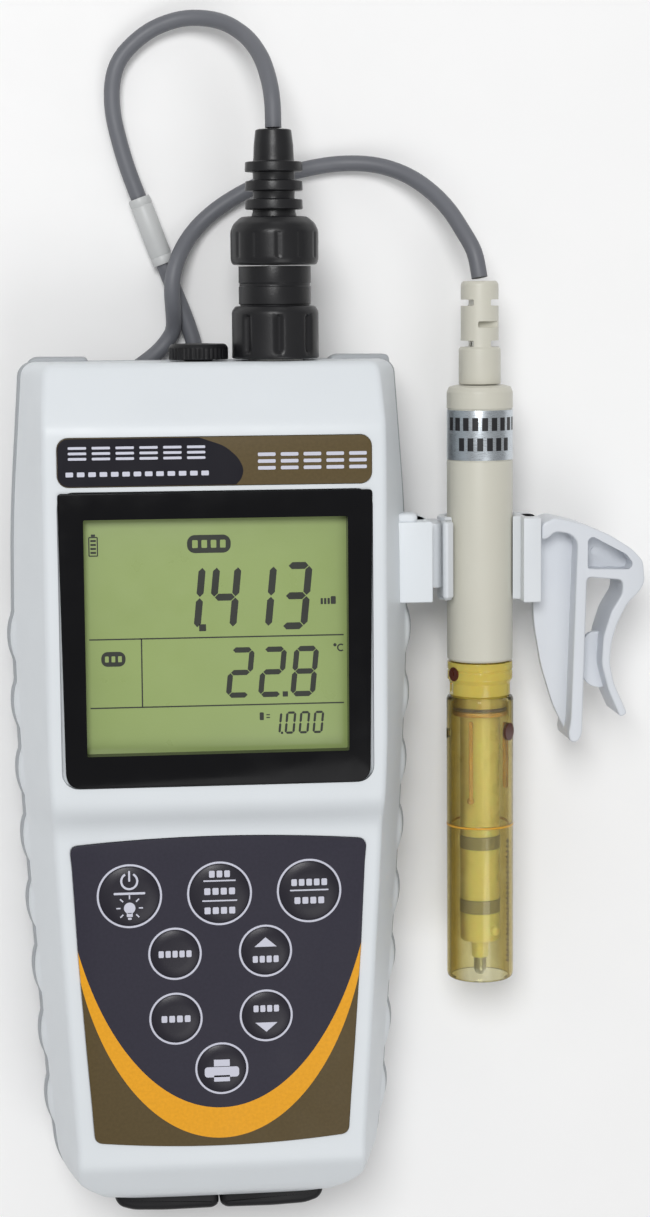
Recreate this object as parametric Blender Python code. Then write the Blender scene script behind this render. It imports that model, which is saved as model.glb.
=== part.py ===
"""Handheld conductivity meter with its cabled probe, probe clip and beaker clip.

The meter lies on its back. +X is the keypad's right, +Y runs towards the connectors and +Z
out of the display. The origin is on the back's flat land, under the middle of the case.
Lengths are in millimetres, and MM turns them into Blender's metres.
"""

import math

import bmesh
import bpy
from mathutils import Vector

MM = 0.001
GAP = 0.3  # clearance between pieces that touch
ROUND = 24  # sides of a large turned piece
SMALL_ROUND = 12  # sides of a screw or a pin

# Meter case
CASE_TOP = 93.6
CASE_BOTTOM = -96.0
TOP_CORNER = 3.0
BOTTOM_CORNER = 14.0
SEAM_LOW = 19.5  # rim of the rear housing
SEAM_HIGH = 20.8  # rim of the front housing
WALL = 2.4
FRONT_WALL = 2.6
BACK_WALL = 3.4
SIDE = ((-96.0, 35.6), (-74.0, 38.2), (-49.0, 39.9), (-21.0, 41.9),
        (6.0, 43.3), (33.0, 44.4), (60.0, 44.0), (93.6, 41.6))
FACE = ((-96.0, 34.0), (-84.0, 31.6), (-57.0, 33.2), (-12.5, 35.6),
        (10.0, 36.6), (80.0, 36.7), (93.6, 36.0))
FRONT = ((-96.0, 25.0), (-92.0, 33.5), (-84.0, 39.5), (-9.2, 39.5), (-6.5, 40.4),
         (-3.0, 43.2), (-0.6, 44.0), (79.8, 44.0), (93.6, 37.0))
BACK = ((-96.0, 10.0), (-93.0, 3.0), (-90.0, 0.0), (33.0, 0.0), (38.0, 13.0), (93.6, 13.0))
STATIONS = (-96.0, -95.0, -93.0, -90.0, -84.0, -74.0, -57.0, -36.0, -12.5, -9.2, -6.5, -3.0,
            -0.6, 12.0, 33.0, 38.0, 60.0, 79.8, 90.6, 92.6, 93.6)

# Display stack, from the face inwards
BEZEL_LOW = (-33.7, 2.6)
BEZEL_HIGH = (33.7, 66.4)
BEZEL_Z = (42.7, 44.7)
WINDOW_LOW = (-28.3, 9.6)
WINDOW_HIGH = (28.3, 60.6)
LENS_MARGIN = 2.2
LENS_Z = (41.2, 42.4)
LCD_Z = (38.6, 40.9)
BACKLIGHT_Z = (36.4, 38.3)
BOARD_Z = (32.4, 34.0)
NAME_PLATE = ((-33.6, 67.3), (33.6, 78.2))
NAME_PLATE_Z = (43.4, 44.3)

# Keypad
OVERLAY_Z = (39.2, 40.0)
OVERLAY_SIDE = ((-75.5, 28.2), (-57.0, 29.6), (-35.0, 31.1), (-13.0, 32.2))
OVERLAY_TOP = (-9.5, -11.0)  # at the middle and at the corners
OVERLAY_BOTTOM = (-79.2, -77.6)
OVERLAY_CORNER = 3.0
LARGE_KEY = 6.55
SMALL_KEY = 5.3
KEY_TOP = 40.15
KEY_CAP_BOTTOM = 39.2
KEY_STEM_RADIUS = 3.0
KEY_STEM_BOTTOM = 36.0
KEY_WELL_FLOOR = 38.4  # leaves each key room for its 0.5 mm of travel
DOME_TOP = 35.3
KEYS = (("key_power", -19.7, -22.2, LARGE_KEY), ("key_cal", 0.0, -22.2, LARGE_KEY),
        ("key_enter", 19.7, -22.2, LARGE_KEY), ("key_setup", -9.95, -35.4, SMALL_KEY),
        ("key_up", 9.95, -35.4, SMALL_KEY), ("key_mode", -9.95, -50.0, SMALL_KEY),
        ("key_down", 9.95, -50.0, SMALL_KEY), ("key_print", 0.0, -61.6, SMALL_KEY))

# Batteries and their cover
CELL_RADIUS = 7.1
CELL_ENDS = (-70.3, -20.0)
CELL_Z = 11.0
CELL_X = (-15.0, 0.0, 15.0)
COVER_LOW = (-25.0, -78.0)
COVER_HIGH = (25.0, -12.0)
DOOR_LOW = (-22.8, -72.2)
DOOR_HIGH = (22.8, -17.8)
COVER_Z = (0.3, 1.5)
LEDGE_Z = 2.4
COVER_SCREWS = ((0.0, -75.1), (0.0, -14.9))

# Screws that join the housings
CASE_SCREWS = ((-33.0, 84.0), (33.0, 84.0), (-26.0, -82.0), (26.0, -82.0))
BOSS_RADIUS = 3.6
SHANK_RADIUS = 1.4
HEAD_RADIUS = 2.6
HEAD_DEPTH = 1.8
SHANK_TOP = 31.0

# Connectors on the top end
PLUG_X = 14.6
PORT_X = -2.3
PORT_Z = 27.0
SOCKET_RADIUS = 5.9
JACK_RADIUS = 4.8

# Probe, held beside the meter
PROBE_X = 61.0
PROBE_Z = 20.0
HANDLE_RADIUS = 7.4
GUARD_RADIUS = 7.6
GUARD_BORE = 6.6
CORE_RADIUS = 4.5
SLOT_HEIGHT = 1.4
BAND_EDGES = ((-17.9, -14.9), (-32.7, -29.6))

# Clips
CLIP_LOW = 39.4
CLIP_HIGH = 58.2
CLIP_BORE = 7.75
CLIP_OUTER = 9.6
CLIP_REACH = 27.0  # degrees that each jaw rises over the probe's middle
BEAKER_Z = (13.0, 27.0)
WEB_Z = (19.1, 20.9)

# Cable: one 3.6 mm cord, coiled under the raised head of the case
CORD_RADIUS = 1.8
CORD_STEP = 8.0
COIL_CENTRE = (-8.0, 66.0)
COIL_RADII = (14.4, 25.7)
COIL_Z = (0.1, 7.6)
LOOP_A = ((14.6, 143.8, 27.0), (14.5, 149.5, 26.4), (13.9, 154.8, 23.6), (12.4, 160.2, 18.8),
          (9.4, 165.0, 12.6), (4.4, 168.4, 7.2), (-2.6, 169.3, 4.0), (-9.4, 167.4, 2.8),
          (-14.6, 163.8, 2.6), (-18.0, 159.6, 2.6), (-19.4, 154.6, 2.6), (-19.3, 148.4, 2.6),
          (-17.9, 141.8, 2.6), (-16.2, 136.0, 2.6), (-14.2, 130.5, 2.6), (-12.2, 125.1, 2.6),
          (-10.2, 119.7, 2.6), (-8.2, 114.3, 2.6), (-6.1, 108.9, 2.4), (-4.0, 103.5, 2.2),
          (-2.2, 98.2, 2.1), (-1.8, 92.3, 2.0))
LOOP_B = ((-8.6, 92.3, 2.0), (-7.0, 96.6, 2.2), (-6.5, 100.4, 3.4), (-6.6, 104.4, 5.6),
          (-6.9, 108.4, 6.8), (-6.6, 112.2, 6.8), (-5.4, 116.0, 5.8), (-3.6, 119.4, 4.0),
          (-1.2, 122.6, 2.5), (2.0, 125.7, 2.0), (6.3, 128.8, 2.0), (11.8, 131.8, 2.0),
          (18.2, 134.4, 2.0), (25.0, 136.2, 2.0), (32.4, 137.2, 2.2), (39.8, 136.8, 3.4),
          (46.2, 134.6, 6.0), (51.2, 131.0, 9.4), (55.0, 126.6, 13.0), (57.8, 121.6, 16.4),
          (60.0, 116.8, 19.0), (61.0, 111.4, 20.0))
MARKER_ENDS = (129.6, 114.9)


def clear_scene():
    for item in list(bpy.data.objects):
        bpy.data.objects.remove(item, do_unlink=True)


def finish(name, colour, roughness, metallic=0.0, alpha=1.0):
    """A Principled material of one colour."""
    made = bpy.data.materials.new(name)
    made.use_nodes = True
    shader = made.node_tree.nodes["Principled BSDF"]
    shader.inputs["Base Color"].default_value = (*colour, 1.0)
    shader.inputs["Roughness"].default_value = roughness
    shader.inputs["Metallic"].default_value = metallic
    shader.inputs["Alpha"].default_value = alpha
    return made


def solid(name, rings, material, origin=(0.0, 0.0, 0.0), looped=False):
    """A closed body through rings of points, capped at its ends unless the rings loop."""
    centre = Vector(origin)
    bm = bmesh.new()
    made = [[bm.verts.new((Vector(point) - centre) * MM) for point in ring] for ring in rings]
    pairs = list(zip(made, made[1:]))
    if looped:
        pairs.append((made[-1], made[0]))
    for first, second in pairs:
        for i in range(len(first)):
            j = (i + 1) % len(first)
            bm.faces.new((first[i], first[j], second[j], second[i]))
    if not looped:
        bm.faces.new(made[0])
        bm.faces.new(made[-1])
    bmesh.ops.recalc_face_normals(bm, faces=bm.faces)
    mesh = bpy.data.meshes.new(name)
    bm.to_mesh(mesh)
    bm.free()
    mesh.shade_smooth()
    mesh.set_sharp_from_angle(angle=math.radians(35.0))
    if material is not None:
        mesh.materials.append(material)
    obj = bpy.data.objects.new(name, mesh)
    obj.location = centre * MM
    bpy.context.scene.collection.objects.link(obj)
    return obj


def turned(name, profile, base, axis, material, sides=ROUND, looped=False):
    """Turns (distance along the axis, radius) pairs about the axis through base."""
    rings = []
    for along, radius in profile:
        ring = []
        for k in range(sides):
            turn = 2.0 * math.pi * (k + 0.5) / sides
            across, over = radius * math.cos(turn), radius * math.sin(turn)
            if axis == "Y":
                ring.append((base[0] + across, along, base[1] + over))
            else:
                ring.append((base[0] + across, base[1] + over, along))
        rings.append(ring)
    origin = (base[0], profile[0][0], base[1]) if axis == "Y" else (*base, profile[0][0])
    return solid(name, rings, material, origin, looped)


def prism(name, outline, low, high, material, axis="Z", origin=(0.0, 0.0, 0.0)):
    """Extrudes an outline along Z, or an (x, z) outline along Y."""
    if axis == "Z":
        rings = [[(x, y, level) for x, y in outline] for level in (low, high)]
    else:
        rings = [[(x, level, z) for x, z in outline] for level in (low, high)]
    return solid(name, rings, material, origin)


def plate(name, low, high, levels, material):
    outline = ((low[0], low[1]), (high[0], low[1]), (high[0], high[1]), (low[0], high[1]))
    return prism(name, outline, levels[0], levels[1], material)


def shape(target, helper, operation):
    """Applies a helper body to the target with an exact Boolean, and hides the helper."""
    modifier = target.modifiers.new(helper.name, "BOOLEAN")
    modifier.operation = operation
    modifier.solver = "EXACT"
    modifier.object = helper
    helper.hide_render = True
    helper.display_type = "WIRE"


def cut(target, helper):
    shape(target, helper, "DIFFERENCE")


def join(target, helper):
    shape(target, helper, "UNION")


def at(table, y):
    """The value that a table of (y, value) points gives at y, in straight runs."""
    for (y0, v0), (y1, v1) in zip(table, table[1:]):
        if y <= y1:
            return v0 + (v1 - v0) * max(0.0, y - y0) / (y1 - y0)
    return table[-1][1]


def corner(y, inset):
    """How far the case's rounded corners pull its sides in at y."""
    pull = 0.0
    for end, radius, sign in ((CASE_BOTTOM, BOTTOM_CORNER, 1.0), (CASE_TOP, TOP_CORNER, -1.0)):
        radius -= inset
        depth = radius - (sign * (y - end) - inset)
        if depth > 0.0:
            pull += radius - math.sqrt(max(0.0, radius * radius - depth * depth))
    return pull


def mirrored(right):
    return [*right, *[(-x, z) for x, z in reversed(right)]]


def front_section(y, inset, wall, rim):
    side = at(SIDE, y) - corner(y, inset) - inset
    face = min(at(FACE, y) - 0.6 * inset, side - 1.0) - 0.6 * corner(y, inset)
    top = at(FRONT, y) - wall
    middle = 0.45 * side + 0.55 * face + 0.8
    points = ((side, rim), (side, min(24.0, top - 1.2)), (middle, top - 0.4 * (top - 22.0)),
              (face, top - 0.5), (face - 1.2, top))
    return [(x, y, z) for x, z in mirrored(points)]


def rear_section(y, inset, wall, rim):
    side = at(SIDE, y) - corner(y, inset) - inset
    low = at(BACK, y) + wall
    rise = SEAM_LOW - low
    points = ((side, rim), (side - 0.08 * rise, low + 0.45 * rise),
              (side - 0.25 * rise, low + 0.10 * rise), (side - 0.40 * rise, low))
    return [(x, y, z) for x, z in mirrored(points)]


def stations(inset):
    """The case's stations along Y, drawn together by the inset at both ends."""
    share = 1.0 - 2.0 * inset / (CASE_TOP - CASE_BOTTOM)
    return [CASE_BOTTOM + inset + (y - CASE_BOTTOM) * share for y in STATIONS]


def case_body(name, section, inset, wall, rim, material=None):
    return solid(name, [section(y, inset, wall, rim) for y in stations(inset)], material)


def front_housing(material):
    shell = case_body("front_housing", front_section, 0.0, 0.0, SEAM_HIGH, material)
    cut(shell, case_body("front_hollow", front_section, WALL, FRONT_WALL, SEAM_HIGH - 1.0))
    for i, (x, y) in enumerate(CASE_SCREWS):
        boss_profile = ((SEAM_HIGH, BOSS_RADIUS), (at(FRONT, y) - 2.0, BOSS_RADIUS))
        join(shell, turned(f"front_boss_{i}", boss_profile, (x, y), "Z", None, SMALL_ROUND))
        hole_profile = ((SEAM_HIGH - 1.0, SHANK_RADIUS + GAP), (SHANK_TOP + 1.0, SHANK_RADIUS + GAP))
        cut(shell, turned(f"front_hole_{i}", hole_profile, (x, y), "Z", None, SMALL_ROUND))
    low = (BEZEL_LOW[0] - GAP, BEZEL_LOW[1] - GAP)
    high = (BEZEL_HIGH[0] + GAP, BEZEL_HIGH[1] + GAP)
    cut(shell, plate("bezel_recess", low, high, (BEZEL_Z[0] - GAP, 50.0), None))
    low = (WINDOW_LOW[0] - LENS_MARGIN - GAP, WINDOW_LOW[1] - LENS_MARGIN - GAP)
    high = (WINDOW_HIGH[0] + LENS_MARGIN + GAP, WINDOW_HIGH[1] + LENS_MARGIN + GAP)
    cut(shell, plate("window_hole", low, high, (30.0, 50.0), None))
    low = (NAME_PLATE[0][0] - GAP, NAME_PLATE[0][1] - GAP)
    high = (NAME_PLATE[1][0] + GAP, NAME_PLATE[1][1] + GAP)
    cut(shell, plate("name_recess", low, high, (NAME_PLATE_Z[0] - GAP, 50.0), None))
    recess = overlay_outline(GAP)
    cut(shell, prism("overlay_recess", recess, OVERLAY_Z[0] - GAP, 50.0, None))
    for name, x, y, radius in KEYS:
        stem = KEY_STEM_RADIUS + GAP
        cap = radius + GAP
        well = ((30.0, stem), (KEY_WELL_FLOOR, stem), (KEY_WELL_FLOOR, cap), (45.0, cap))
        cut(shell, turned(f"{name}_well", well, (x, y), "Z", None))
    for name, x, radius in (("socket_hole", PLUG_X, SOCKET_RADIUS), ("jack_hole", PORT_X, JACK_RADIUS)):
        profile = ((CASE_TOP - 8.0, radius + GAP), (CASE_TOP + 5.0, radius + GAP))
        cut(shell, turned(name, profile, (x, PORT_Z), "Y", None))
    return shell


def rear_housing(material):
    shell = case_body("rear_housing", rear_section, 0.0, 0.0, SEAM_LOW, material)
    cut(shell, case_body("rear_hollow", rear_section, WALL, BACK_WALL, SEAM_LOW + 1.0))
    cut(shell, plate("cover_recess", COVER_LOW, COVER_HIGH, (-5.0, LEDGE_Z), None))
    cut(shell, plate("battery_door", DOOR_LOW, DOOR_HIGH, (-5.0, 10.0), None))
    for i, (x, y) in enumerate(CASE_SCREWS):
        base = at(BACK, y)
        boss_profile = ((base + 1.0, BOSS_RADIUS), (SEAM_LOW, BOSS_RADIUS))
        join(shell, turned(f"rear_boss_{i}", boss_profile, (x, y), "Z", None, SMALL_ROUND))
        head = HEAD_RADIUS + GAP
        shank = SHANK_RADIUS + GAP
        top = base + HEAD_DEPTH + 1.0
        hole_profile = ((base - 1.0, head), (top, head), (top, shank), (SEAM_LOW + 1.0, shank))
        cut(shell, turned(f"rear_hole_{i}", hole_profile, (x, y), "Z", None, SMALL_ROUND))
    for i, (x, y) in enumerate(COVER_SCREWS):
        boss_profile = ((LEDGE_Z, 2.6), (7.0, 2.6))
        join(shell, turned(f"cover_boss_{i}", boss_profile, (x, y), "Z", None, SMALL_ROUND))
        hole_profile = ((0.0, 1.3), (6.0, 1.3))
        cut(shell, turned(f"cover_hole_{i}", hole_profile, (x, y), "Z", None, SMALL_ROUND))
    return shell


def housing_gasket(material):
    """The seal between the housings: a flat ring that follows their rims."""
    levels = (SEAM_LOW + GAP, SEAM_HIGH - GAP)
    loops = []
    for inset in (0.5, 1.9):
        right = [(at(SIDE, y) - corner(y, inset) - inset, y) for y in stations(inset)]
        loops.append([*right, *[(-x, y) for x, y in reversed(right)]])
    outer, inner = loops
    order = ((outer, levels[0]), (outer, levels[1]), (inner, levels[1]), (inner, levels[0]))
    rings = [[(x, y, z) for x, y in loop] for loop, z in order]
    return solid("housing_gasket", rings, material, looped=True)


def overlay_outline(margin):
    """The keypad overlay's outline: two slanting sides, bowed ends and round corners."""
    points = []
    for sign in (1.0, -1.0):
        side = [(y, x) for y, x in OVERLAY_SIDE]
        run = [(sign * (x + margin), y) for y, x in side]
        points.extend(run if sign > 0 else reversed(run))
        end = OVERLAY_TOP if sign > 0 else OVERLAY_BOTTOM
        edge_x = OVERLAY_SIDE[-1][1] if sign > 0 else OVERLAY_SIDE[0][1]
        reach = edge_x - OVERLAY_CORNER
        for k in range(7):
            share = 1.0 - k / 3.0
            bow = end[0] + (end[1] - end[0]) * share * share
            points.append((sign * reach * share, bow + sign * margin))
    return points


def display(finishes):
    bezel = plate("display_bezel", BEZEL_LOW, BEZEL_HIGH, BEZEL_Z, finishes["bezel"])
    cut(bezel, plate("bezel_window", WINDOW_LOW, WINDOW_HIGH, (30.0, 50.0), None))
    lens_low = (WINDOW_LOW[0] - LENS_MARGIN, WINDOW_LOW[1] - LENS_MARGIN)
    lens_high = (WINDOW_HIGH[0] + LENS_MARGIN, WINDOW_HIGH[1] + LENS_MARGIN)
    plate("display_lens", lens_low, lens_high, LENS_Z, finishes["lens"])
    plate("lcd_panel", lens_low, lens_high, LCD_Z, finishes["lcd"])
    plate("lcd_backlight", lens_low, lens_high, BACKLIGHT_Z, finishes["board"])
    plate("name_plate", *NAME_PLATE, NAME_PLATE_Z, finishes["bezel"])


def keypad(finishes):
    overlay = prism("keypad_overlay", overlay_outline(0.0), *OVERLAY_Z, finishes["keypad"])
    sheet = plate("dome_sheet", (-27.0, -68.0), (27.0, -14.0), (34.3, 34.7), finishes["steel"])
    for name, x, y, radius in KEYS:
        hole_profile = ((30.0, radius + GAP), (45.0, radius + GAP))
        cut(overlay, turned(f"{name}_hole", hole_profile, (x, y), "Z", None))
        profile = ((KEY_STEM_BOTTOM, KEY_STEM_RADIUS), (KEY_CAP_BOTTOM, KEY_STEM_RADIUS),
                   (KEY_CAP_BOTTOM + 0.1, radius), (KEY_TOP - 0.2, radius), (KEY_TOP, radius - 0.3))
        turned(name, profile, (x, y), "Z", finishes["keypad"])
        dome_profile = ((34.5, 3.6), (34.9, 3.0), (DOME_TOP, 1.4))
        join(sheet, turned(f"{name}_dome", dome_profile, (x, y), "Z", None, SMALL_ROUND))
    plate("main_board", (-30.0, -72.0), (30.0, 64.0), BOARD_Z, finishes["board"])


def batteries(finishes):
    for i, x in enumerate(CELL_X):
        low, high = CELL_ENDS
        profile = ((low, CELL_RADIUS - 0.8), (low + 0.8, CELL_RADIUS), (high - 2.2, CELL_RADIUS),
                   (high - 1.4, CELL_RADIUS - 0.8), (high - 1.3, 2.7), (high, 2.7))
        turned(f"battery_cell_{i + 1}", profile, (x, CELL_Z), "Y", finishes["cell"], 16)
    contacts = (("battery_contact_lower", CELL_ENDS[0] - 0.8),
                ("battery_contact_upper", CELL_ENDS[1] + 0.3))
    for name, y in contacts:
        plate(name, (-21.5, y), (21.5, y + 0.5), (4.2, 17.8), finishes["steel"])
    cover = plate("battery_cover", (COVER_LOW[0] + GAP, COVER_LOW[1] + GAP),
                  (COVER_HIGH[0] - GAP, COVER_HIGH[1] - GAP), COVER_Z, finishes["case"])
    seal_z = (COVER_Z[1] + 0.15, LEDGE_Z - 0.15)
    seal = plate("battery_cover_gasket", (DOOR_LOW[0] - 1.6, DOOR_LOW[1] - 0.8),
                 (DOOR_HIGH[0] + 1.6, DOOR_HIGH[1] + 0.8), seal_z, finishes["rubber"])
    cut(seal, plate("seal_opening", (DOOR_LOW[0] - 0.2, DOOR_LOW[1] + 0.6),
                    (DOOR_HIGH[0] + 0.2, DOOR_HIGH[1] - 0.6), (0.0, 5.0), None))
    for i, (x, y) in enumerate(COVER_SCREWS):
        hole_profile = ((-1.0, 2.3), (0.95, 2.3), (0.95, 1.3), (3.0, 1.3))
        cut(cover, turned(f"cover_sink_{i}", hole_profile, (x, y), "Z", None, SMALL_ROUND))
        profile = ((0.1, 1.9), (0.7, 1.9), (0.7, 1.0), (5.6, 1.0))
        turned(f"cover_screw_{i + 1}", profile, (x, y), "Z", finishes["steel"], SMALL_ROUND)


def case_screws(material):
    for i, (x, y) in enumerate(CASE_SCREWS):
        base = at(BACK, y) + 0.7
        neck = base + HEAD_DEPTH
        profile = ((base, HEAD_RADIUS - 0.4), (base + 0.4, HEAD_RADIUS), (neck, HEAD_RADIUS),
                   (neck, SHANK_RADIUS), (SHANK_TOP, SHANK_RADIUS))
        turned(f"housing_screw_{i + 1}", profile, (x, y), "Z", material, SMALL_ROUND)


def end_bumpers(material):
    """Two rubber lobes on the bottom end, cut to fit the housings."""
    lobe = ((1.4, -92.0), (1.4, -97.4), (3.4, -98.6), (19.5, -98.6), (22.6, -97.2),
            (23.6, -95.6), (23.6, -92.0))
    for name, sign in (("end_bumper_right", 1.0), ("end_bumper_left", -1.0)):
        outline = [(sign * x, y) for x, y in lobe]
        bumper = prism(name, outline, 12.5, 26.5, material)
        cut(bumper, case_body(f"{name}_front_fit", front_section, -GAP, -GAP, 19.0))
        cut(bumper, case_body(f"{name}_rear_fit", rear_section, -GAP, -GAP, 21.5))


def connectors(finishes):
    black = finishes["rubber"]
    wall_in = CASE_TOP - WALL
    socket_profile = ((CASE_TOP - 7.0, SOCKET_RADIUS), (102.0, SOCKET_RADIUS),
                      (102.0, SOCKET_RADIUS - 1.1), (CASE_TOP - 7.0, SOCKET_RADIUS - 1.1))
    turned("panel_socket", socket_profile, (PLUG_X, PORT_Z), "Y", finishes["steel"], ROUND, True)
    turned("socket_insert", ((CASE_TOP - 6.0, 4.4), (96.0, 4.4)), (PLUG_X, PORT_Z), "Y", black)
    nut_profile = ((wall_in - 3.4, 7.6), (wall_in - GAP, 7.6))
    nut = turned("socket_nut", nut_profile, (PLUG_X, PORT_Z), "Y", finishes["steel"], 6)
    nut_bore = ((80.0, SOCKET_RADIUS + GAP), (100.0, SOCKET_RADIUS + GAP))
    cut(nut, turned("nut_bore", nut_bore, (PLUG_X, PORT_Z), "Y", None))
    jack_profile = ((CASE_TOP - 7.0, JACK_RADIUS), (CASE_TOP, JACK_RADIUS))
    jack = turned("port_jack", jack_profile, (PORT_X, PORT_Z), "Y", black, 16)
    jack_bore = ((CASE_TOP - 5.0, 3.3), (CASE_TOP + 1.0, 3.3))
    cut(jack, turned("jack_bore", jack_bore, (PORT_X, PORT_Z), "Y", None, 16))
    cap_profile = ((CASE_TOP - 3.6, 2.9), (CASE_TOP + GAP, 2.9), (CASE_TOP + GAP, 6.5),
                   (96.6, 6.5), (97.3, 5.8))
    turned("port_cap", cap_profile, (PORT_X, PORT_Z), "Y", black)

    ring_bore = 8.0
    ring_profile = ((94.0, ring_bore), (94.0, 9.5), (103.8, 9.5), (105.4, 8.6), (105.4, ring_bore))
    ring = turned("plug_locking_ring", ring_profile, (PLUG_X, PORT_Z), "Y", black, ROUND, True)
    for k in range(8):
        turn = 2.0 * math.pi * (k + 0.5) / 8
        x = PLUG_X + 9.9 * math.cos(turn)
        z = PORT_Z + 9.9 * math.sin(turn)
        cut(ring, turned(f"flute_{k}", ((92.0, 1.0), (102.0, 1.0)), (x, z), "Y", None, 8))
    body_profile = ((95.0, 6.3), (95.0, 7.6), (105.8, 7.6), (105.8, 7.9), (114.0, 7.9),
                    (114.0, 3.0), (106.5, 3.0), (106.5, 6.3))
    turned("plug_body", body_profile, (PLUG_X, PORT_Z), "Y", black, ROUND, True)
    collar_profile = ((114.3, 8.8), (115.6, 9.6), (122.4, 9.6), (124.6, 7.4))
    turned("plug_collar", collar_profile, (PLUG_X, PORT_Z), "Y", black)
    boot_profile = [(124.9, 4.6)]
    for centre in (127.3, 131.3, 135.4):
        boot_profile += [(centre - 1.2, 4.55), (centre - 1.1, 6.3),
                         (centre + 1.1, 6.3), (centre + 1.2, 4.55)]
    boot_profile += [(137.6, 4.3), (143.5, 4.2)]
    turned("plug_boot", boot_profile, (PLUG_X, PORT_Z), "Y", black)


def probe(finishes):
    axis = (PROBE_X, PROBE_Z)
    beige, amber = finishes["probe"], finishes["amber"]
    boot = turned("probe_boot", ((87.7, 4.7), (95.6, 4.7), (95.7, 4.2), (109.9, 4.2), (110.5, 3.6)),
                  axis, "Y", beige, 20)
    side_floor = PROBE_Z - 6.0
    front_floor = PROBE_Z + 2.1
    slots = ((105.0, -6.0, -1.9, side_floor), (105.0, 1.9, 6.0, side_floor),
             (100.2, -1.0, 6.0, front_floor),
             (95.9, -6.0, -1.9, side_floor), (95.9, 1.9, 6.0, side_floor))
    for i, (y, left, right, floor) in enumerate(slots):
        low = (PROBE_X + left, y)
        high = (PROBE_X + right, y + SLOT_HEIGHT)
        cut(boot, plate(f"boot_slot_{i}", low, high, (floor, PROBE_Z + 6.0), None))
    label_z = (70.5, 82.3)
    handle_profile = ((25.4, 5.8), (25.4, 7.1), (25.8, HANDLE_RADIUS), (label_z[0], HANDLE_RADIUS),
                      (label_z[0], 6.8), (label_z[1], 6.8), (label_z[1], HANDLE_RADIUS),
                      (86.4, HANDLE_RADIUS), (87.4, 6.2), (87.4, 2.4), (80.0, 2.4), (78.0, 5.8))
    turned("probe_handle", handle_profile, axis, "Y", beige, ROUND, True)
    label_profile = ((label_z[0] + GAP, 7.05), (label_z[0] + GAP, 7.45),
                     (label_z[1] - GAP, 7.45), (label_z[1] - GAP, 7.05))
    turned("probe_label", label_profile, axis, "Y", finishes["label"], ROUND, True)
    collar_profile = ((14.8, CORE_RADIUS + GAP), (14.8, 6.2), (17.4, 6.2), (17.6, 6.9), (20.4, 6.9),
                      (21.4, HANDLE_RADIUS), (25.1, HANDLE_RADIUS), (25.1, 5.4), (31.0, 5.4),
                      (31.0, CORE_RADIUS + GAP))
    turned("probe_collar", collar_profile, axis, "Y", amber, ROUND, True)
    guard_profile = ((-46.9, GUARD_BORE), (-47.9, 7.0), (-46.6, GUARD_RADIUS),
                     (16.6, GUARD_RADIUS), (17.2, 7.2), (17.2, GUARD_BORE))
    guard = turned("probe_guard", guard_profile, axis, "Y", finishes["guard"], ROUND, True)
    vent = ((8.7, 2.0), (8.7, -2.0))
    for i, (y, side) in enumerate(vent):
        low = (PROBE_X + min(0.0, side * 6.0), y - 1.2)
        high = (PROBE_X + max(0.0, side * 6.0), y + 1.2)
        cut(guard, plate(f"guard_vent_{i}", low, high, (PROBE_Z - 1.2, PROBE_Z + 1.2), None))
    groove = CORE_RADIUS - 0.7
    core_profile = [(-43.0, 1.9), (-39.3, 2.0), (-39.3, CORE_RADIUS - 0.4), (-38.8, CORE_RADIUS)]
    for low, high in reversed(BAND_EDGES):
        core_profile += [(low, CORE_RADIUS), (low, groove), (high, groove), (high, CORE_RADIUS)]
    core_profile += [(34.0, CORE_RADIUS)]
    turned("probe_core", core_profile, axis, "Y", amber, 20)
    for name, (low, high) in zip(("electrode_band_upper", "electrode_band_lower"), BAND_EDGES):
        band_profile = ((low + GAP, groove + GAP), (low + GAP, 4.6),
                        (high - GAP, 4.6), (high - GAP, groove + GAP))
        turned(name, band_profile, axis, "Y", finishes["graphite"], 20, True)
    tip_profile = ((-47.4, 0.7), (-46.9, 1.2), (-46.2, 1.45), (-43.3, 1.45))
    turned("sensor_tip", tip_profile, axis, "Y", finishes["steel"], SMALL_ROUND)


def side_bracket(material):
    """The block on the case's side, with a T-slot open towards the probe."""
    outline = ((41.6, 9.0), (48.7, 9.0), (48.7, 18.3), (47.5, 18.3), (47.5, 15.6), (45.4, 15.6),
               (45.4, 24.4), (47.5, 24.4), (47.5, 21.7), (48.7, 21.7), (48.7, 31.0), (41.6, 31.0))
    bracket = prism("side_bracket", outline, 39.9, 57.8, material, "Y")
    cut(bracket, case_body("bracket_front_fit", front_section, -GAP, -GAP, 19.0))
    cut(bracket, case_body("bracket_rear_fit", rear_section, -GAP, -GAP, 21.5))


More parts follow.
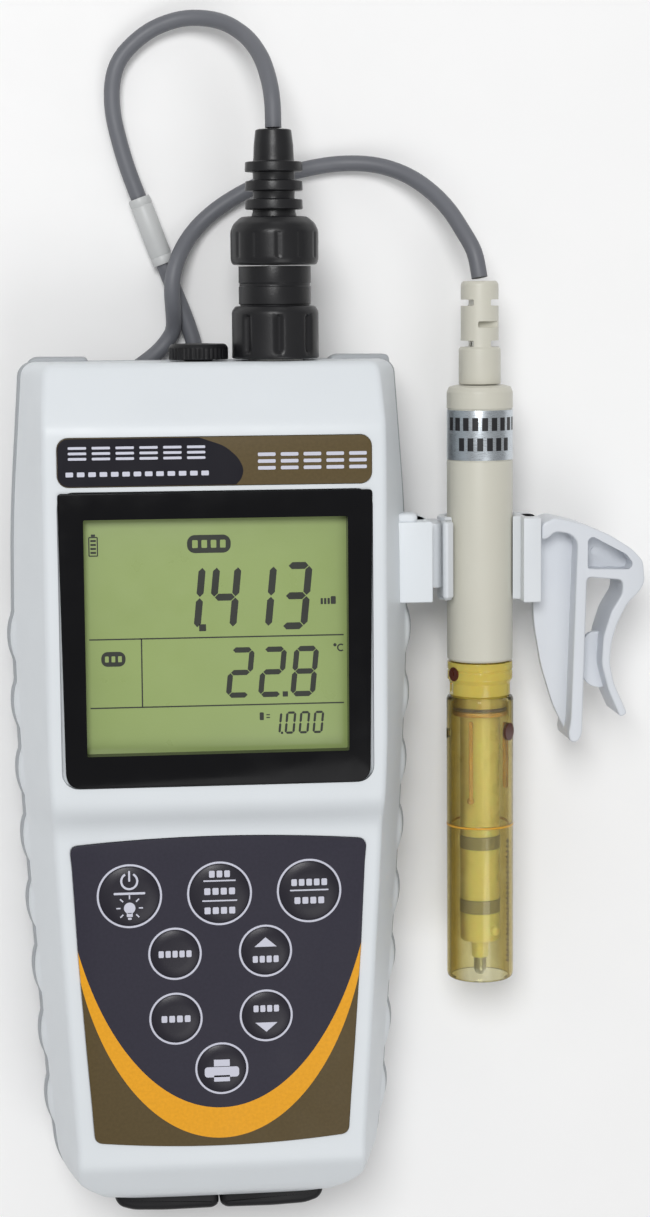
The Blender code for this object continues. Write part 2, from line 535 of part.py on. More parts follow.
def probe_clip(material):
    """A C-shaped clip for the probe: a T-rail towards the meter, a channel on the far side."""
    arc = []
    low_turn = 180.0 - CLIP_REACH
    high_turn = 360.0 + CLIP_REACH
    turns = [math.radians(low_turn + (high_turn - low_turn) * k / 20) for k in range(21)]
    for turn in turns:
        arc.append((PROBE_X + CLIP_OUTER * math.cos(turn), PROBE_Z + CLIP_OUTER * math.sin(turn)))
    for turn in reversed(turns):
        arc.append((PROBE_X + CLIP_BORE * math.cos(turn), PROBE_Z + CLIP_BORE * math.sin(turn)))
    clip = prism("probe_clip", arc, CLIP_LOW, CLIP_HIGH, material, "Y")
    rail = ((45.7, 15.9), (47.2, 15.9), (47.2, 18.6), (49.0, 18.6), (49.0, 13.5), (52.2, 13.5),
            (52.2, 26.5), (49.0, 26.5), (49.0, 21.4), (47.2, 21.4), (47.2, 24.1), (45.7, 24.1))
    join(clip, prism("clip_rail", rail, 42.6, 57.0, None, "Y"))
    channel = ((69.6, 12.0), (73.6, 12.0), (73.6, 18.7), (72.6, 18.7), (72.6, 17.0), (71.2, 17.0),
               (71.2, 23.0), (72.6, 23.0), (72.6, 21.3), (73.6, 21.3), (73.6, 28.0), (69.6, 28.0))
    join(clip, prism("clip_channel", channel, CLIP_LOW - 0.3, 58.0, None, "Y"))
    bore_profile = ((30.0, CLIP_BORE), (70.0, CLIP_BORE))
    cut(clip, turned("clip_bore", bore_profile, (PROBE_X, PROBE_Z), "Y", None, 40))


def beaker_clip(material):
    """A webbed frame with a bowed spring finger that grips a beaker's wall."""
    finger_out = ((93.6, 37.4), (91.5, 33.6), (90.3, 29.6), (89.9, 25.0), (90.9, 20.2), (93.9, 13.2))
    finger_in = ((91.6, 12.3), (89.0, 18.6), (87.8, 24.6), (88.2, 31.0), (90.0, 36.6),
                 (92.6, 40.6), (92.6, 43.6))
    frame = ((73.9, 56.6), (77.0, 57.9), (83.5, 56.3), (89.4, 53.8), (94.4, 50.6), (97.0, 47.8),
             (97.4, 43.0), (96.6, 40.2), *finger_out, *finger_in,
             (84.4, 44.4), (84.0, 30.0), (83.6, 7.6), (82.6, 6.8), (80.8, 6.8), (80.0, 8.0),
             (80.6, 12.0), (82.0, 52.4), (80.4, 54.2), (77.0, 54.8), (75.2, 53.2), (73.9, 52.6))
    clip = prism("beaker_clip", frame, *BEAKER_Z, material)
    pocket = ((84.4, 46.4), (93.6, 46.0), (94.3, 47.6), (93.2, 49.2), (85.4, 53.6), (84.4, 52.8))
    cut(clip, prism("clip_pocket_front", pocket, WEB_Z[1], 40.0, None))
    cut(clip, prism("clip_pocket_back", pocket, 0.0, WEB_Z[0], None))
    web = ((71.5, 57.0), (76.5, 57.0), (82.5, 54.5), (82.5, 10.0), (80.6, 8.4), (77.5, 15.0),
           (74.8, 24.0), (73.3, 33.0), (72.9, 39.5), (71.5, 39.5))
    join(clip, prism("clip_web", web, *WEB_Z, None))
    head = ((71.5, 57.0), (72.3, 57.0), (72.3, 39.5), (71.5, 39.5))
    join(clip, prism("clip_head", head, 17.4, 22.6, None))
    pad = ((89.0, 31.4), (86.0, 31.2), (84.8, 29.4), (84.8, 20.6), (86.4, 18.6), (89.4, 18.2))
    join(clip, prism("clip_pad", pad, *WEB_Z, None))


def smooth_route(points, step):
    """Points about one step apart on a Catmull-Rom curve through the route's points."""
    route = [Vector(p) for p in points]
    dense = []
    for i in range(len(route) - 1):
        before = route[max(i - 1, 0)]
        after = route[min(i + 2, len(route) - 1)]
        a, b = route[i], route[i + 1]
        for k in range(12):
            t = k / 12
            bend = (2 * a + (b - before) * t + (2 * before - 5 * a + 4 * b - after) * t * t
                    + (3 * a - before - 3 * b + after) * t * t * t)
            dense.append(bend * 0.5)
    dense.append(route[-1])
    total = sum((q - p).length for p, q in zip(dense, dense[1:]))
    count = max(2, round(total / step))
    picked = [dense[0]]
    walked = 0.0
    for p, q in zip(dense, dense[1:]):
        reach = (q - p).length
        while len(picked) < count and walked + reach >= total * len(picked) / count:
            share = (total * len(picked) / count - walked) / reach
            picked.append(p.lerp(q, share))
        walked += reach
    picked.append(dense[-1])
    return picked


def cord_tube(name, points, material):
    curve = bpy.data.curves.new(name, "CURVE")
    curve.dimensions = "3D"
    curve.bevel_depth = CORD_RADIUS * MM
    curve.bevel_resolution = 2
    curve.use_fill_caps = True
    path = smooth_route(points, CORD_STEP)
    spline = curve.splines.new("POLY")
    spline.points.add(len(path) - 1)
    for target, point in zip(spline.points, path):
        target.co = (*(point * MM), 1.0)
    curve.materials.append(material)
    obj = bpy.data.objects.new(name, curve)
    bpy.context.scene.collection.objects.link(obj)


def cable(finishes):
    cord_tube("cable_loop_a", LOOP_A, finishes["cable"])
    cord_tube("cable_loop_b", LOOP_B, finishes["cable"])
    inner, outer = COIL_RADII
    low, high = COIL_Z
    coil_profile = ((low, inner), (low, outer), (high, outer), (high, inner))
    turned("cable_coil", coil_profile, COIL_CENTRE, "Z", finishes["cable"], 32, True)
    tie = ((39.7, 0.05), (39.7, 8.5), (52.2, 8.5), (52.2, 0.05), (51.9, 0.05), (51.9, 7.9),
           (40.0, 7.9), (40.0, 0.05))
    rings = [[(COIL_CENTRE[0] + x, y, z) for y, z in tie] for x in (-2.5, 2.5)]
    solid("coil_tie", rings, finishes["rubber"])
    ends = [Vector((-8.2 + (y - 114.3) * (-6.0 / 16.2), y, 2.6)) for y in MARKER_ENDS]
    along = (ends[1] - ends[0]).normalized()
    across = along.cross(Vector((0.0, 0.0, 1.0)))
    rings = []
    for end, radius in ((0, 2.15), (0, 2.5), (1, 2.5), (1, 2.15)):
        ring = []
        for k in range(16):
            turn = 2.0 * math.pi * k / 16
            lift = Vector((0, 0, radius * math.sin(turn)))
            ring.append(ends[end] + across * radius * math.cos(turn) + lift)
        rings.append(ring)
    solid("cable_marker", rings, finishes["marker"], looped=True)


def main():
    clear_scene()
    finishes = {
        "case": finish("case_plastic", (0.72, 0.76, 0.80), 0.38),
        "bezel": finish("gloss_black", (0.010, 0.010, 0.012), 0.12),
        "lens": finish("clear_lens", (0.85, 0.90, 0.85), 0.05, 0.0, 0.25),
        "lcd": finish("lcd_green", (0.29, 0.38, 0.14), 0.40),
        "board": finish("circuit_board", (0.02, 0.16, 0.06), 0.50),
        "keypad": finish("keypad_film", (0.030, 0.028, 0.042), 0.35),
        "steel": finish("steel", (0.60, 0.60, 0.60), 0.30, 1.0),
        "rubber": finish("black_rubber", (0.018, 0.018, 0.020), 0.45),
        "cell": finish("battery_sleeve", (0.05, 0.05, 0.06), 0.35),
        "probe": finish("probe_plastic", (0.60, 0.59, 0.50), 0.40),
        "label": finish("silver_label", (0.55, 0.58, 0.62), 0.25, 0.8),
        "amber": finish("amber_plastic", (0.72, 0.55, 0.15), 0.20),
        "guard": finish("clear_amber", (0.75, 0.62, 0.22), 0.12, 0.0, 0.45),
        "graphite": finish("graphite", (0.20, 0.18, 0.10), 0.50),
        "clip": finish("clip_plastic", (0.66, 0.71, 0.76), 0.35),
        "cable": finish("cable_sheath", (0.075, 0.080, 0.090), 0.55),
        "marker": finish("marker_sleeve", (0.60, 0.62, 0.63), 0.45),
    }
    front_housing(finishes["case"])
    rear_housing(finishes["case"])
    housing_gasket(finishes["rubber"])
    display(finishes)
    keypad(finishes)
    batteries(finishes)
    case_screws(finishes["steel"])
    end_bumpers(finishes["rubber"])
    connectors(finishes)
    probe(finishes)
    side_bracket(finishes["case"])
    probe_clip(finishes["clip"])
    beaker_clip(finishes["clip"])
    cable(finishes)


main()
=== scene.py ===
"""Looks for the handheld conductivity meter, its probe, its clips and its cable.

Lengths are in millimetres in the CAD's frame, and MM turns them into Blender's metres.
The meter lies on its back, with its keypad towards -Y and its display facing +Z.
"""

import math

import bmesh
import bpy
from mathutils import Matrix, Vector


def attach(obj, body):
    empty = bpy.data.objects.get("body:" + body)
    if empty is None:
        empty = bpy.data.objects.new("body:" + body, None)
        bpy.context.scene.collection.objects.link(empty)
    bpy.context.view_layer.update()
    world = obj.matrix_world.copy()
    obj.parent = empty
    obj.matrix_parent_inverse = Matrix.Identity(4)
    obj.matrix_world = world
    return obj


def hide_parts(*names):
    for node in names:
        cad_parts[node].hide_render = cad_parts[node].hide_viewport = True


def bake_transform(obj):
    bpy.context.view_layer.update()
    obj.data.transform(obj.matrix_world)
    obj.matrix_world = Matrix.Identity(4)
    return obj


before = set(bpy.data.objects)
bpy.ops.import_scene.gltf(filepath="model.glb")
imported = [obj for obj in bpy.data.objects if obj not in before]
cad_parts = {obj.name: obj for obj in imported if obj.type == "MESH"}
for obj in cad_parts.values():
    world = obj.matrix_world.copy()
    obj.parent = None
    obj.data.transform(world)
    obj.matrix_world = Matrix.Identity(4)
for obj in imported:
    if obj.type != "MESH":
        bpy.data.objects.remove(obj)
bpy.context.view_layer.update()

MM = 0.001
SIDES = 96  # sides of a large turned piece
SMOOTH_ANGLE = math.radians(32.0)
SHELL_ANGLE = math.radians(40.0)

# Meter case, as in the CAD model
CASE_TOP = 93.6
CASE_BOTTOM = -96.0
TOP_CORNER = 3.0
BOTTOM_CORNER = 14.0
SEAM_HIGH = 20.8
SIDE = ((-96.0, 35.6), (-74.0, 38.2), (-49.0, 39.9), (-21.0, 41.9),
        (6.0, 43.3), (33.0, 44.4), (60.0, 44.0), (93.6, 41.6))
FACE = ((-96.0, 34.0), (-84.0, 31.6), (-57.0, 33.2), (-12.5, 35.6),
        (10.0, 36.6), (80.0, 36.7), (93.6, 36.0))
FRONT = ((-96.0, 25.0), (-92.0, 33.5), (-84.0, 39.5), (-9.2, 39.5), (-6.5, 40.4),
         (-3.0, 43.2), (-0.6, 44.0), (79.8, 44.0), (93.6, 37.0))
BACK = ((-96.0, 10.0), (-93.0, 3.0), (-90.0, 0.0), (33.0, 0.0), (38.0, 13.0), (93.6, 13.0))
CASE_SCREWS = ((-33.0, 84.0), (33.0, 84.0), (-26.0, -82.0), (26.0, -82.0))
COVER_SCREWS = (-75.1, -14.9)  # on the middle line, along Y
GRIP_CRESTS = tuple(33.2 - 15.1 * k for k in range(8))
GRIP_HALF = 4.9
GRIP_RISE = 1.0

# Display, name plate and keypad
BEZEL = (-33.7, 2.6, 33.7, 66.4)
BEZEL_Z = (42.7, 44.55)
WINDOW = (-28.3, 9.6, 28.3, 60.6)
LCD_Z = 41.0
NAME_PLATE = (-33.6, 67.6, 33.6, 78.0)
NAME_PLATE_Z = (43.4, 44.3)
OVERLAY_SIDE = ((-75.5, 28.2), (-57.0, 29.6), (-35.0, 31.1), (-13.0, 32.2))
OVERLAY_TOP = (-9.5, -11.0)
OVERLAY_BOTTOM = (-79.2, -77.6)
OVERLAY_Z = 40.0
KEY_TOP = 40.15
KEYS = {"key_power": (-19.7, -22.2, 6.55), "key_cal": (0.0, -22.2, 6.55),
        "key_enter": (19.7, -22.2, 6.55), "key_setup": (-9.95, -35.4, 5.3),
        "key_up": (9.95, -35.4, 5.3), "key_mode": (-9.95, -50.0, 5.3),
        "key_down": (9.95, -50.0, 5.3), "key_print": (0.0, -61.6, 5.3)}

# Connectors, probe and cable
PLUG_AXIS = (14.6, 27.0)
CAP_AXIS = (-2.3, 27.0)
PROBE_AXIS = (61.0, 20.0)
CORD_RADIUS = 1.8
COIL_CENTRE = (-8.0, 66.0)
COIL_OUTER = 25.6
COIL_PITCH = 3.7
COIL_HALF_TURNS = 3.0
COIL_INNER = COIL_OUTER - COIL_PITCH * COIL_HALF_TURNS
COIL_TURNS = 5.77
COIL_START = math.radians(47.0)
COIL_LAYERS = (1.9, 5.65)
LOOP_A = ((14.6, 143.8, 27.0), (14.5, 149.5, 26.4), (13.9, 154.8, 23.6), (12.4, 160.2, 18.8),
          (9.4, 165.0, 12.6), (4.4, 168.4, 7.2), (-2.6, 169.3, 4.0), (-9.4, 167.4, 2.8),
          (-14.6, 163.8, 2.6), (-18.0, 159.6, 2.6), (-19.4, 154.6, 2.6), (-19.3, 148.4, 2.6),
          (-17.9, 141.8, 2.6), (-16.2, 136.0, 2.6), (-14.2, 130.5, 2.6), (-12.2, 125.1, 2.6),
          (-10.2, 119.7, 2.6), (-8.2, 114.3, 2.6), (-6.1, 108.9, 2.4), (-4.0, 103.5, 2.2),
          (-2.2, 98.2, 2.1), (-1.8, 92.3, 2.0))
LOOP_B = ((-8.6, 92.3, 2.0), (-7.0, 96.6, 2.2), (-6.5, 100.4, 3.4), (-6.6, 104.4, 5.6),
          (-6.9, 108.4, 6.8), (-6.6, 112.2, 6.8), (-5.4, 116.0, 5.8), (-3.6, 119.4, 4.0),
          (-1.2, 122.6, 2.5), (2.0, 125.7, 2.0), (6.3, 128.8, 2.0), (11.8, 131.8, 2.0),
          (18.2, 134.4, 2.0), (25.0, 136.2, 2.0), (32.4, 137.2, 2.2), (39.8, 136.8, 3.4),
          (46.2, 134.6, 6.0), (51.2, 131.0, 9.4), (55.0, 126.6, 13.0), (57.8, 121.6, 16.4),
          (60.0, 116.8, 19.0), (61.0, 111.2, 20.0))


# ---- materials ----------------------------------------------------------------------------

def srgb(red, green, blue):
    """Linear colour of 0 to 255 screen values."""
    linear = []
    for value in (red, green, blue):
        share = value / 255.0
        linear.append(share / 12.92 if share <= 0.04045 else ((share + 0.055) / 1.055) ** 2.4)
    return (*linear, 1.0)


class Nodes:
    """Short ways to add and link shader nodes."""

    def __init__(self, name):
        self.material = bpy.data.materials.new(name)
        self.material.use_nodes = True
        self.tree = self.material.node_tree
        self.shader = self.tree.nodes["Principled BSDF"]
        self.place = self.tree.nodes.new("ShaderNodeTexCoord").outputs["Object"]

    def link(self, source, target):
        self.tree.links.new(source, target)

    def noise(self, scale, detail=2.0, stretch=(1.0, 1.0, 1.0)):
        spread = self.tree.nodes.new("ShaderNodeMapping")
        spread.inputs["Scale"].default_value = stretch
        self.link(self.place, spread.inputs["Vector"])
        texture = self.tree.nodes.new("ShaderNodeTexNoise")
        texture.inputs["Scale"].default_value = scale
        texture.inputs["Detail"].default_value = detail
        self.link(spread.outputs["Vector"], texture.inputs["Vector"])
        return texture.outputs["Fac"]

    def spread(self, value, low, high, start=0.3, end=0.7):
        ranged = self.tree.nodes.new("ShaderNodeMapRange")
        ranged.inputs["From Min"].default_value = start
        ranged.inputs["From Max"].default_value = end
        ranged.inputs["To Min"].default_value = low
        ranged.inputs["To Max"].default_value = high
        self.link(value, ranged.inputs["Value"])
        return ranged.outputs["Result"]

    def blend(self, share, first, second):
        """A colour between two, each a constant or another socket."""
        mix = self.tree.nodes.new("ShaderNodeMix")
        mix.data_type = "RGBA"
        colours = [s for s in mix.inputs if s.type == "RGBA"]
        factor = next(s for s in mix.inputs if s.type == "VALUE")
        self.link(share, factor)
        for socket, colour in zip(colours, (first, second)):
            if isinstance(colour, tuple):
                socket.default_value = colour
            else:
                self.link(colour, socket)
        return next(s for s in mix.outputs if s.type == "RGBA")

    def math(self, operation, first, second=0.0):
        step = self.tree.nodes.new("ShaderNodeMath")
        step.operation = operation
        for socket, value in zip(step.inputs, (first, second)):
            if isinstance(value, float):
                socket.default_value = value
            else:
                self.link(value, socket)
        return step.outputs[0]

    def axes(self):
        split = self.tree.nodes.new("ShaderNodeSeparateXYZ")
        self.link(self.place, split.inputs[0])
        return split.outputs

    def bump(self, height, depth, strength=1.0):
        bump = self.tree.nodes.new("ShaderNodeBump")
        bump.inputs["Strength"].default_value = strength
        bump.inputs["Distance"].default_value = depth * MM
        self.link(height, bump.inputs["Height"])
        self.link(bump.outputs["Normal"], self.shader.inputs["Normal"])

    def set(self, **values):
        for name, value in values.items():
            self.shader.inputs[name.replace("_", " ")].default_value = value


def shade(colour, share):
    return (*(min(1.0, c * share) for c in colour[:3]), 1.0)


def moulded(name, colour, roughness, grain=0.02, grain_scale=2200.0, mottle=0.06, **settings):
    """Moulded plastic, rubber or metal: soft mottling, a fine surface grain and uneven gloss."""
    nodes = Nodes(name)
    clouds = nodes.spread(nodes.noise(45.0, 3.0), 0.0, 1.0)
    base = nodes.blend(clouds, shade(colour, 1.0 - mottle), shade(colour, 1.0 + mottle))
    nodes.link(base, nodes.shader.inputs["Base Color"])
    uneven = nodes.spread(nodes.noise(160.0, 4.0), roughness - 0.05, roughness + 0.05)
    nodes.link(uneven, nodes.shader.inputs["Roughness"])
    nodes.bump(nodes.noise(grain_scale, 2.0), grain)
    nodes.set(**settings)
    return nodes.material


def brushed(name, colour, roughness, stretch, **settings):
    """Metal with fine scratches along one axis."""
    nodes = Nodes(name)
    scratches = nodes.noise(900.0, 4.0, stretch)
    base = nodes.blend(nodes.spread(scratches, 0.0, 1.0), shade(colour, 0.86), shade(colour, 1.1))
    nodes.link(base, nodes.shader.inputs["Base Color"])
    nodes.link(nodes.spread(scratches, roughness - 0.08, roughness + 0.08),
               nodes.shader.inputs["Roughness"])
    nodes.bump(scratches, 0.01, 0.5)
    nodes.set(Metallic=1.0, **settings)
    return nodes.material


def below_ellipse(nodes, half_width, centre, bottom):
    """1 where the surface lies outside a half ellipse with its lowest point at bottom."""
    x, y, _ = nodes.axes()
    across = nodes.math("DIVIDE", x, half_width * MM)
    along = nodes.math("DIVIDE", nodes.math("MINIMUM", nodes.math("SUBTRACT", y, centre * MM), 0.0),
                       (centre - bottom) * MM)
    reach = nodes.math("ADD", nodes.math("MULTIPLY", across, across),
                       nodes.math("MULTIPLY", along, along))
    return nodes.math("GREATER_THAN", reach, 1.0)


def flank_shaded_tube(name, crown, flank):
    """Clear plastic along the probe's axis with painted shade: darker on its flanks than on its crown,
    standing for the deeper amber seen through more of the wall at the tube's sides.
    """
    nodes = Nodes(name)
    # Painted shade: the colour runs from the pale crown to the darker flank with distance from the
    # probe's axis.
    aside = nodes.math("ABSOLUTE", nodes.math("SUBTRACT", nodes.axes()[0], PROBE_AXIS[0] * MM))
    wavy = nodes.math("ADD", aside, nodes.spread(nodes.noise(160.0, 3.0), -0.0004, 0.0004))
    share = nodes.math("DIVIDE", nodes.math("SUBTRACT", wavy, 3.6 * MM), 2.4 * MM)
    share = nodes.math("MAXIMUM", nodes.math("MINIMUM", share, 1.0), 0.0)
    nodes.link(nodes.blend(share, crown, flank), nodes.shader.inputs["Base Color"])
    nodes.link(nodes.spread(nodes.noise(160.0, 4.0), 0.03, 0.09), nodes.shader.inputs["Roughness"])
    nodes.bump(nodes.noise(420.0, 2.0), 0.004)
    nodes.set(Transmission_Weight=0.94, IOR=1.4)
    return nodes.material


def printed_film(name, layers, base_colour):
    """A film printed with one colour inside nested half ellipses: (half width, centre, bottom)."""
    nodes = Nodes(name)
    grain = nodes.spread(nodes.noise(1400.0, 3.0), 0.0, 1.0)
    colour = nodes.blend(grain, shade(base_colour, 0.93), shade(base_colour, 1.07))
    for ellipse, inside in layers:
        outside = below_ellipse(nodes, *ellipse)
        tone = nodes.blend(grain, shade(inside, 0.94), shade(inside, 1.06))
        colour = nodes.blend(outside, tone, colour)
    nodes.link(colour, nodes.shader.inputs["Base Color"])
    nodes.link(nodes.spread(nodes.noise(90.0, 3.0), 0.36, 0.48), nodes.shader.inputs["Roughness"])
    nodes.bump(nodes.noise(2600.0, 2.0), 0.012)
    nodes.set(Specular_IOR_Level=0.2)
    return nodes.material


def materials():
    yellow = srgb(232, 163, 34)
    dark = srgb(48, 46, 58)
    bronze = srgb(88, 74, 46)
    swoosh = (((32.9, -20.6, -77.4), yellow), ((34.7, -5.6, -70.5), dark))
    return {
        "case": moulded("case_plastic", srgb(222, 227, 231), 0.42, 0.012, 2600.0, 0.012),
        "rear": moulded("rear_plastic", srgb(166, 170, 174), 0.46, 0.02, 2400.0, 0.02),
        "bezel": moulded("gloss_black", srgb(18, 18, 20), 0.16, 0.002, 800.0, 0.1,
                         Specular_IOR_Level=0.12),
        "bronze_film": printed_film("name_plate_film", (), srgb(92, 78, 50)),
        "dark_film": moulded("dark_film", srgb(30, 29, 36), 0.34, 0.006, 2200.0, 0.06,
                             Specular_IOR_Level=0.15),
        "keypad": printed_film("keypad_film", swoosh, bronze),
        "keycap": moulded("key_film", srgb(38, 36, 45), 0.34, 0.01, 2400.0, 0.06,
                          Specular_IOR_Level=0.3),
        "ink": moulded("pale_ink", srgb(202, 203, 217), 0.45, 0.004, 2200.0, 0.03),
        "lcd": moulded("lcd_glass", srgb(148, 167, 102), 0.32, 0.004, 1800.0, 0.025,
                       Coat_Weight=0.3, Coat_Roughness=0.12),
        "segment": moulded("lcd_segment", srgb(36, 40, 32), 0.4, 0.002, 900.0, 0.08),
        "board": moulded("circuit_board", srgb(30, 96, 56), 0.45, 0.03, 700.0, 0.15),
        "steel": brushed("brushed_steel", srgb(190, 190, 186), 0.28, (1.0, 14.0, 14.0)),
        "rubber": moulded("black_rubber", srgb(26, 26, 28), 0.46, 0.02, 2000.0, 0.1,
                         Specular_IOR_Level=0.25),
        "connector": moulded("connector_plastic", srgb(30, 30, 32), 0.34, 0.02, 2400.0, 0.1,
                            Specular_IOR_Level=0.35),
        "cell": moulded("battery_sleeve", srgb(52, 53, 60), 0.34, 0.01, 900.0, 0.1),
        "probe": moulded("probe_plastic", srgb(205, 203, 190), 0.4, 0.012, 2400.0, 0.02,
                         Coat_Weight=0.1, Coat_Roughness=0.25),
        "label": brushed("silver_label", srgb(205, 212, 218), 0.3, (1.0, 30.0, 1.0)),
        "amber": moulded("amber_plastic", srgb(244, 222, 106), 0.16, 0.006, 1200.0, 0.05,
                         Transmission_Weight=0.45, Coat_Weight=0.3, Coat_Roughness=0.1,
                         Subsurface_Weight=0.15, Subsurface_Scale=0.003),
        "honey": moulded("honey_plastic", srgb(212, 158, 46), 0.2, 0.006, 1200.0, 0.05,
                         Coat_Weight=0.2, Coat_Roughness=0.1),
        "core": moulded("epoxy_core", srgb(246, 236, 156), 0.3, 0.006, 1200.0, 0.04,
                        Subsurface_Weight=0.2, Subsurface_Scale=0.003),
        "graphite": moulded("graphite_band", srgb(146, 138, 104), 0.42, 0.03, 1600.0, 0.12),
        "clip": moulded("clip_plastic", srgb(218, 222, 226), 0.36, 0.012, 2200.0, 0.015,
                        Coat_Weight=0.1, Coat_Roughness=0.25),
        "beaker": moulded("beaker_clip_plastic", srgb(214, 218, 224), 0.34, 0.012, 2200.0, 0.015),
        "cable": moulded("cable_sheath", srgb(106, 108, 114), 0.5, 0.03, 1500.0, 0.08),
        "marker": moulded("marker_sleeve", srgb(196, 198, 198), 0.42, 0.01, 2000.0, 0.03),
        # Guard colours: the pale crown and the darker flank, whose darkening is painted shade at the
        # tube's sides.
        "guard": flank_shaded_tube("clear_amber", srgb(252, 246, 204), srgb(190, 172, 100)),
        "maroon": moulded("dark_amber", srgb(78, 32, 18), 0.3, 0.006, 900.0, 0.12),
        "label_ink": moulded("label_ink", srgb(24, 24, 28), 0.4, 0.004, 1500.0, 0.08),
        "floor": moulded("pale_floor", srgb(250, 250, 250), 0.6, 0.01, 300.0, 0.005),
    }


FINISH = materials()


# ---- mesh tools ---------------------------------------------------------------------------

def polar(x, y, radius, turn):
    """The point at a radius and a turn about (x, y)."""
    return x + radius * math.cos(turn), y + radius * math.sin(turn)


def hoop(centre, side, over, radius, sides):
    """A ring of points about a centre, in the plane of two unit vectors."""
    turns = [2 * math.pi * k / sides for k in range(sides)]
    return [centre + side * radius * math.cos(t) + over * radius * math.sin(t) for t in turns]


def piece(name, mesh, finish, body="root", angle=SMOOTH_ANGLE):
    """Links a mesh as a piece with its material, smooth shading and CAD body."""
    mesh.shade_smooth()
    mesh.set_sharp_from_angle(angle=angle)
    mesh.materials.clear()
    mesh.materials.append(FINISH[finish])
    obj = bpy.data.objects.new(name, mesh)
    bpy.context.scene.collection.objects.link(obj)
    if body:
        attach(obj, body)
    return obj


def dress(made, slot, *nodes):
    """Hides the CAD nodes that a piece stands for and returns the piece. The slot is not used."""
    if nodes:
        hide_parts(*nodes)
    return made


def rings_mesh(name, rings, looped=False):
    """A mesh through rings of points in millimetres, with its ends closed."""
    bm = bmesh.new()
    made = [[bm.verts.new(Vector(point) * MM) for point in ring] for ring in rings]
    pairs = list(zip(made, made[1:]))
    if looped:
        pairs.append((made[-1], made[0]))
    for first, second in pairs:
        for i in range(len(first)):
            j = (i + 1) % len(first)
            bm.faces.new((first[i], first[j], second[j], second[i]))
    if not looped:
        bm.faces.new(made[0])
        bm.faces.new(made[-1])
    bmesh.ops.recalc_face_normals(bm, faces=bm.faces)
    mesh = bpy.data.meshes.new(name)
    bm.to_mesh(mesh)
    bm.free()
    return mesh


def bent(points, radius, steps=5, closed=False):
    """The points with each inner corner rounded to about the radius."""
    made = []
    count = len(points)
    for i, here in enumerate(points):
        here = Vector(here)
        if not closed and i in (0, count - 1):
            made.append(tuple(here))
            continue
        before = Vector(points[i - 1]) - here
        after = Vector(points[(i + 1) % count]) - here
        pull = min(radius, 0.48 * before.length, 0.48 * after.length)
        start = here + before.normalized() * pull
        end = here + after.normalized() * pull
        for k in range(steps + 1):
            t = k / steps
            made.append(tuple(start * (1 - t) ** 2 + here * 2 * t * (1 - t) + end * t * t))
    return made


def turned_mesh(name, profile, axis_at, along="Y", sides=SIDES, looped=False, edge=0.0, wave=None):
    """Turns (distance, radius) pairs about an axis. wave(turn, distance) scales the radius."""
    if edge:
        profile = bent(profile, edge, 4, looped)
    rings = []
    for distance, radius in profile:
        ring = []
        for k in range(sides):
            turn = 2.0 * math.pi * k / sides
            reach = radius * (wave(turn, distance) if wave else 1.0)
            across, over = polar(*axis_at, reach, turn)
            ring.append((across, distance, over) if along == "Y" else (across, over, distance))
        rings.append(ring)
    return rings_mesh(name, rings, looped)


def turned(name, profile, axis_at, finish, body="root", **ways):
    return piece(name, turned_mesh(name, profile, axis_at, **ways), finish, body)


def prism_mesh(name, outline, low, high, axis="Z", edge=0.0):
    """Extrudes an outline along an axis, with its rims rounded by edge."""
    def put(point, level):
        if axis == "Z":
            return (*point, level)
        return (point[0], level, point[1])

    if not edge:
        return rings_mesh(name, [[put(p, level) for p in outline] for level in (low, high)])
    levels = []
    steps = 4
    for k in range(steps + 1):
        turn = 0.5 * math.pi * k / steps
        levels.append((low + edge * (1.0 - math.sin(turn)), edge * (1.0 - math.cos(turn))))
    levels.reverse()
    for k in range(steps + 1):
        turn = 0.5 * math.pi * k / steps
        levels.append((high - edge * (1.0 - math.sin(turn)), edge * (1.0 - math.cos(turn))))
    levels.sort()
    rings = [[put(p, level) for p in inset(outline, pull)] for level, pull in levels]
    return rings_mesh(name, rings)


def inset(outline, amount):
    """The outline drawn inwards by an amount, whichever way round it runs."""
    if amount == 0.0:
        return list(outline)
    area = sum(a[0] * b[1] - b[0] * a[1] for a, b in zip(outline, [*outline[1:], outline[0]]))
    sign = 1.0 if area > 0 else -1.0
    made = []
    count = len(outline)
    for i, (x, y) in enumerate(outline):
        before, after = outline[i - 1], outline[(i + 1) % count]
        one = Vector((x - before[0], y - before[1]))
        two = Vector((after[0] - x, after[1] - y))
        way = (one.normalized() if one.length else one) + (two.normalized() if two.length else two)
        if way.length < 1e-6:
            made.append((x, y))
            continue
        way.normalize()
        made.append((x - sign * way.y * amount, y + sign * way.x * amount))
    return made


def prism(name, outline, low, high, finish, body="root", axis="Z", edge=0.0):
    return piece(name, prism_mesh(name, outline, low, high, axis, edge), finish, body)


def round_box(low_x, low_y, high_x, high_y, radius):
    """A rectangle's outline with round corners."""
    made = []
    steps = 8
    corners = ((high_x - radius, low_y + radius, -90), (high_x - radius, high_y - radius, 0),
               (low_x + radius, high_y - radius, 90), (low_x + radius, low_y + radius, 180))
    for x, y, start in corners:
        for k in range(steps + 1):
            turn = math.radians(start + 90.0 * k / steps)
            made.append(polar(x, y, radius, turn))
    return made


def grown(box, amount, radius):
    """The outline of a (low x, low y, high x, high y) box that has grown by an amount."""
    return round_box(*[v - amount for v in box[:2]], *[v + amount for v in box[2:]], radius)


def cutter(outline, low, high):
    return prism_mesh("cut", outline, low, high)


def drill(x, y, radius, low, high, sides=48):
    """A round cutter that stands along Z."""
    return turned_mesh("cut", ((low, radius), (high, radius)), (x, y), along="Z", sides=sides)


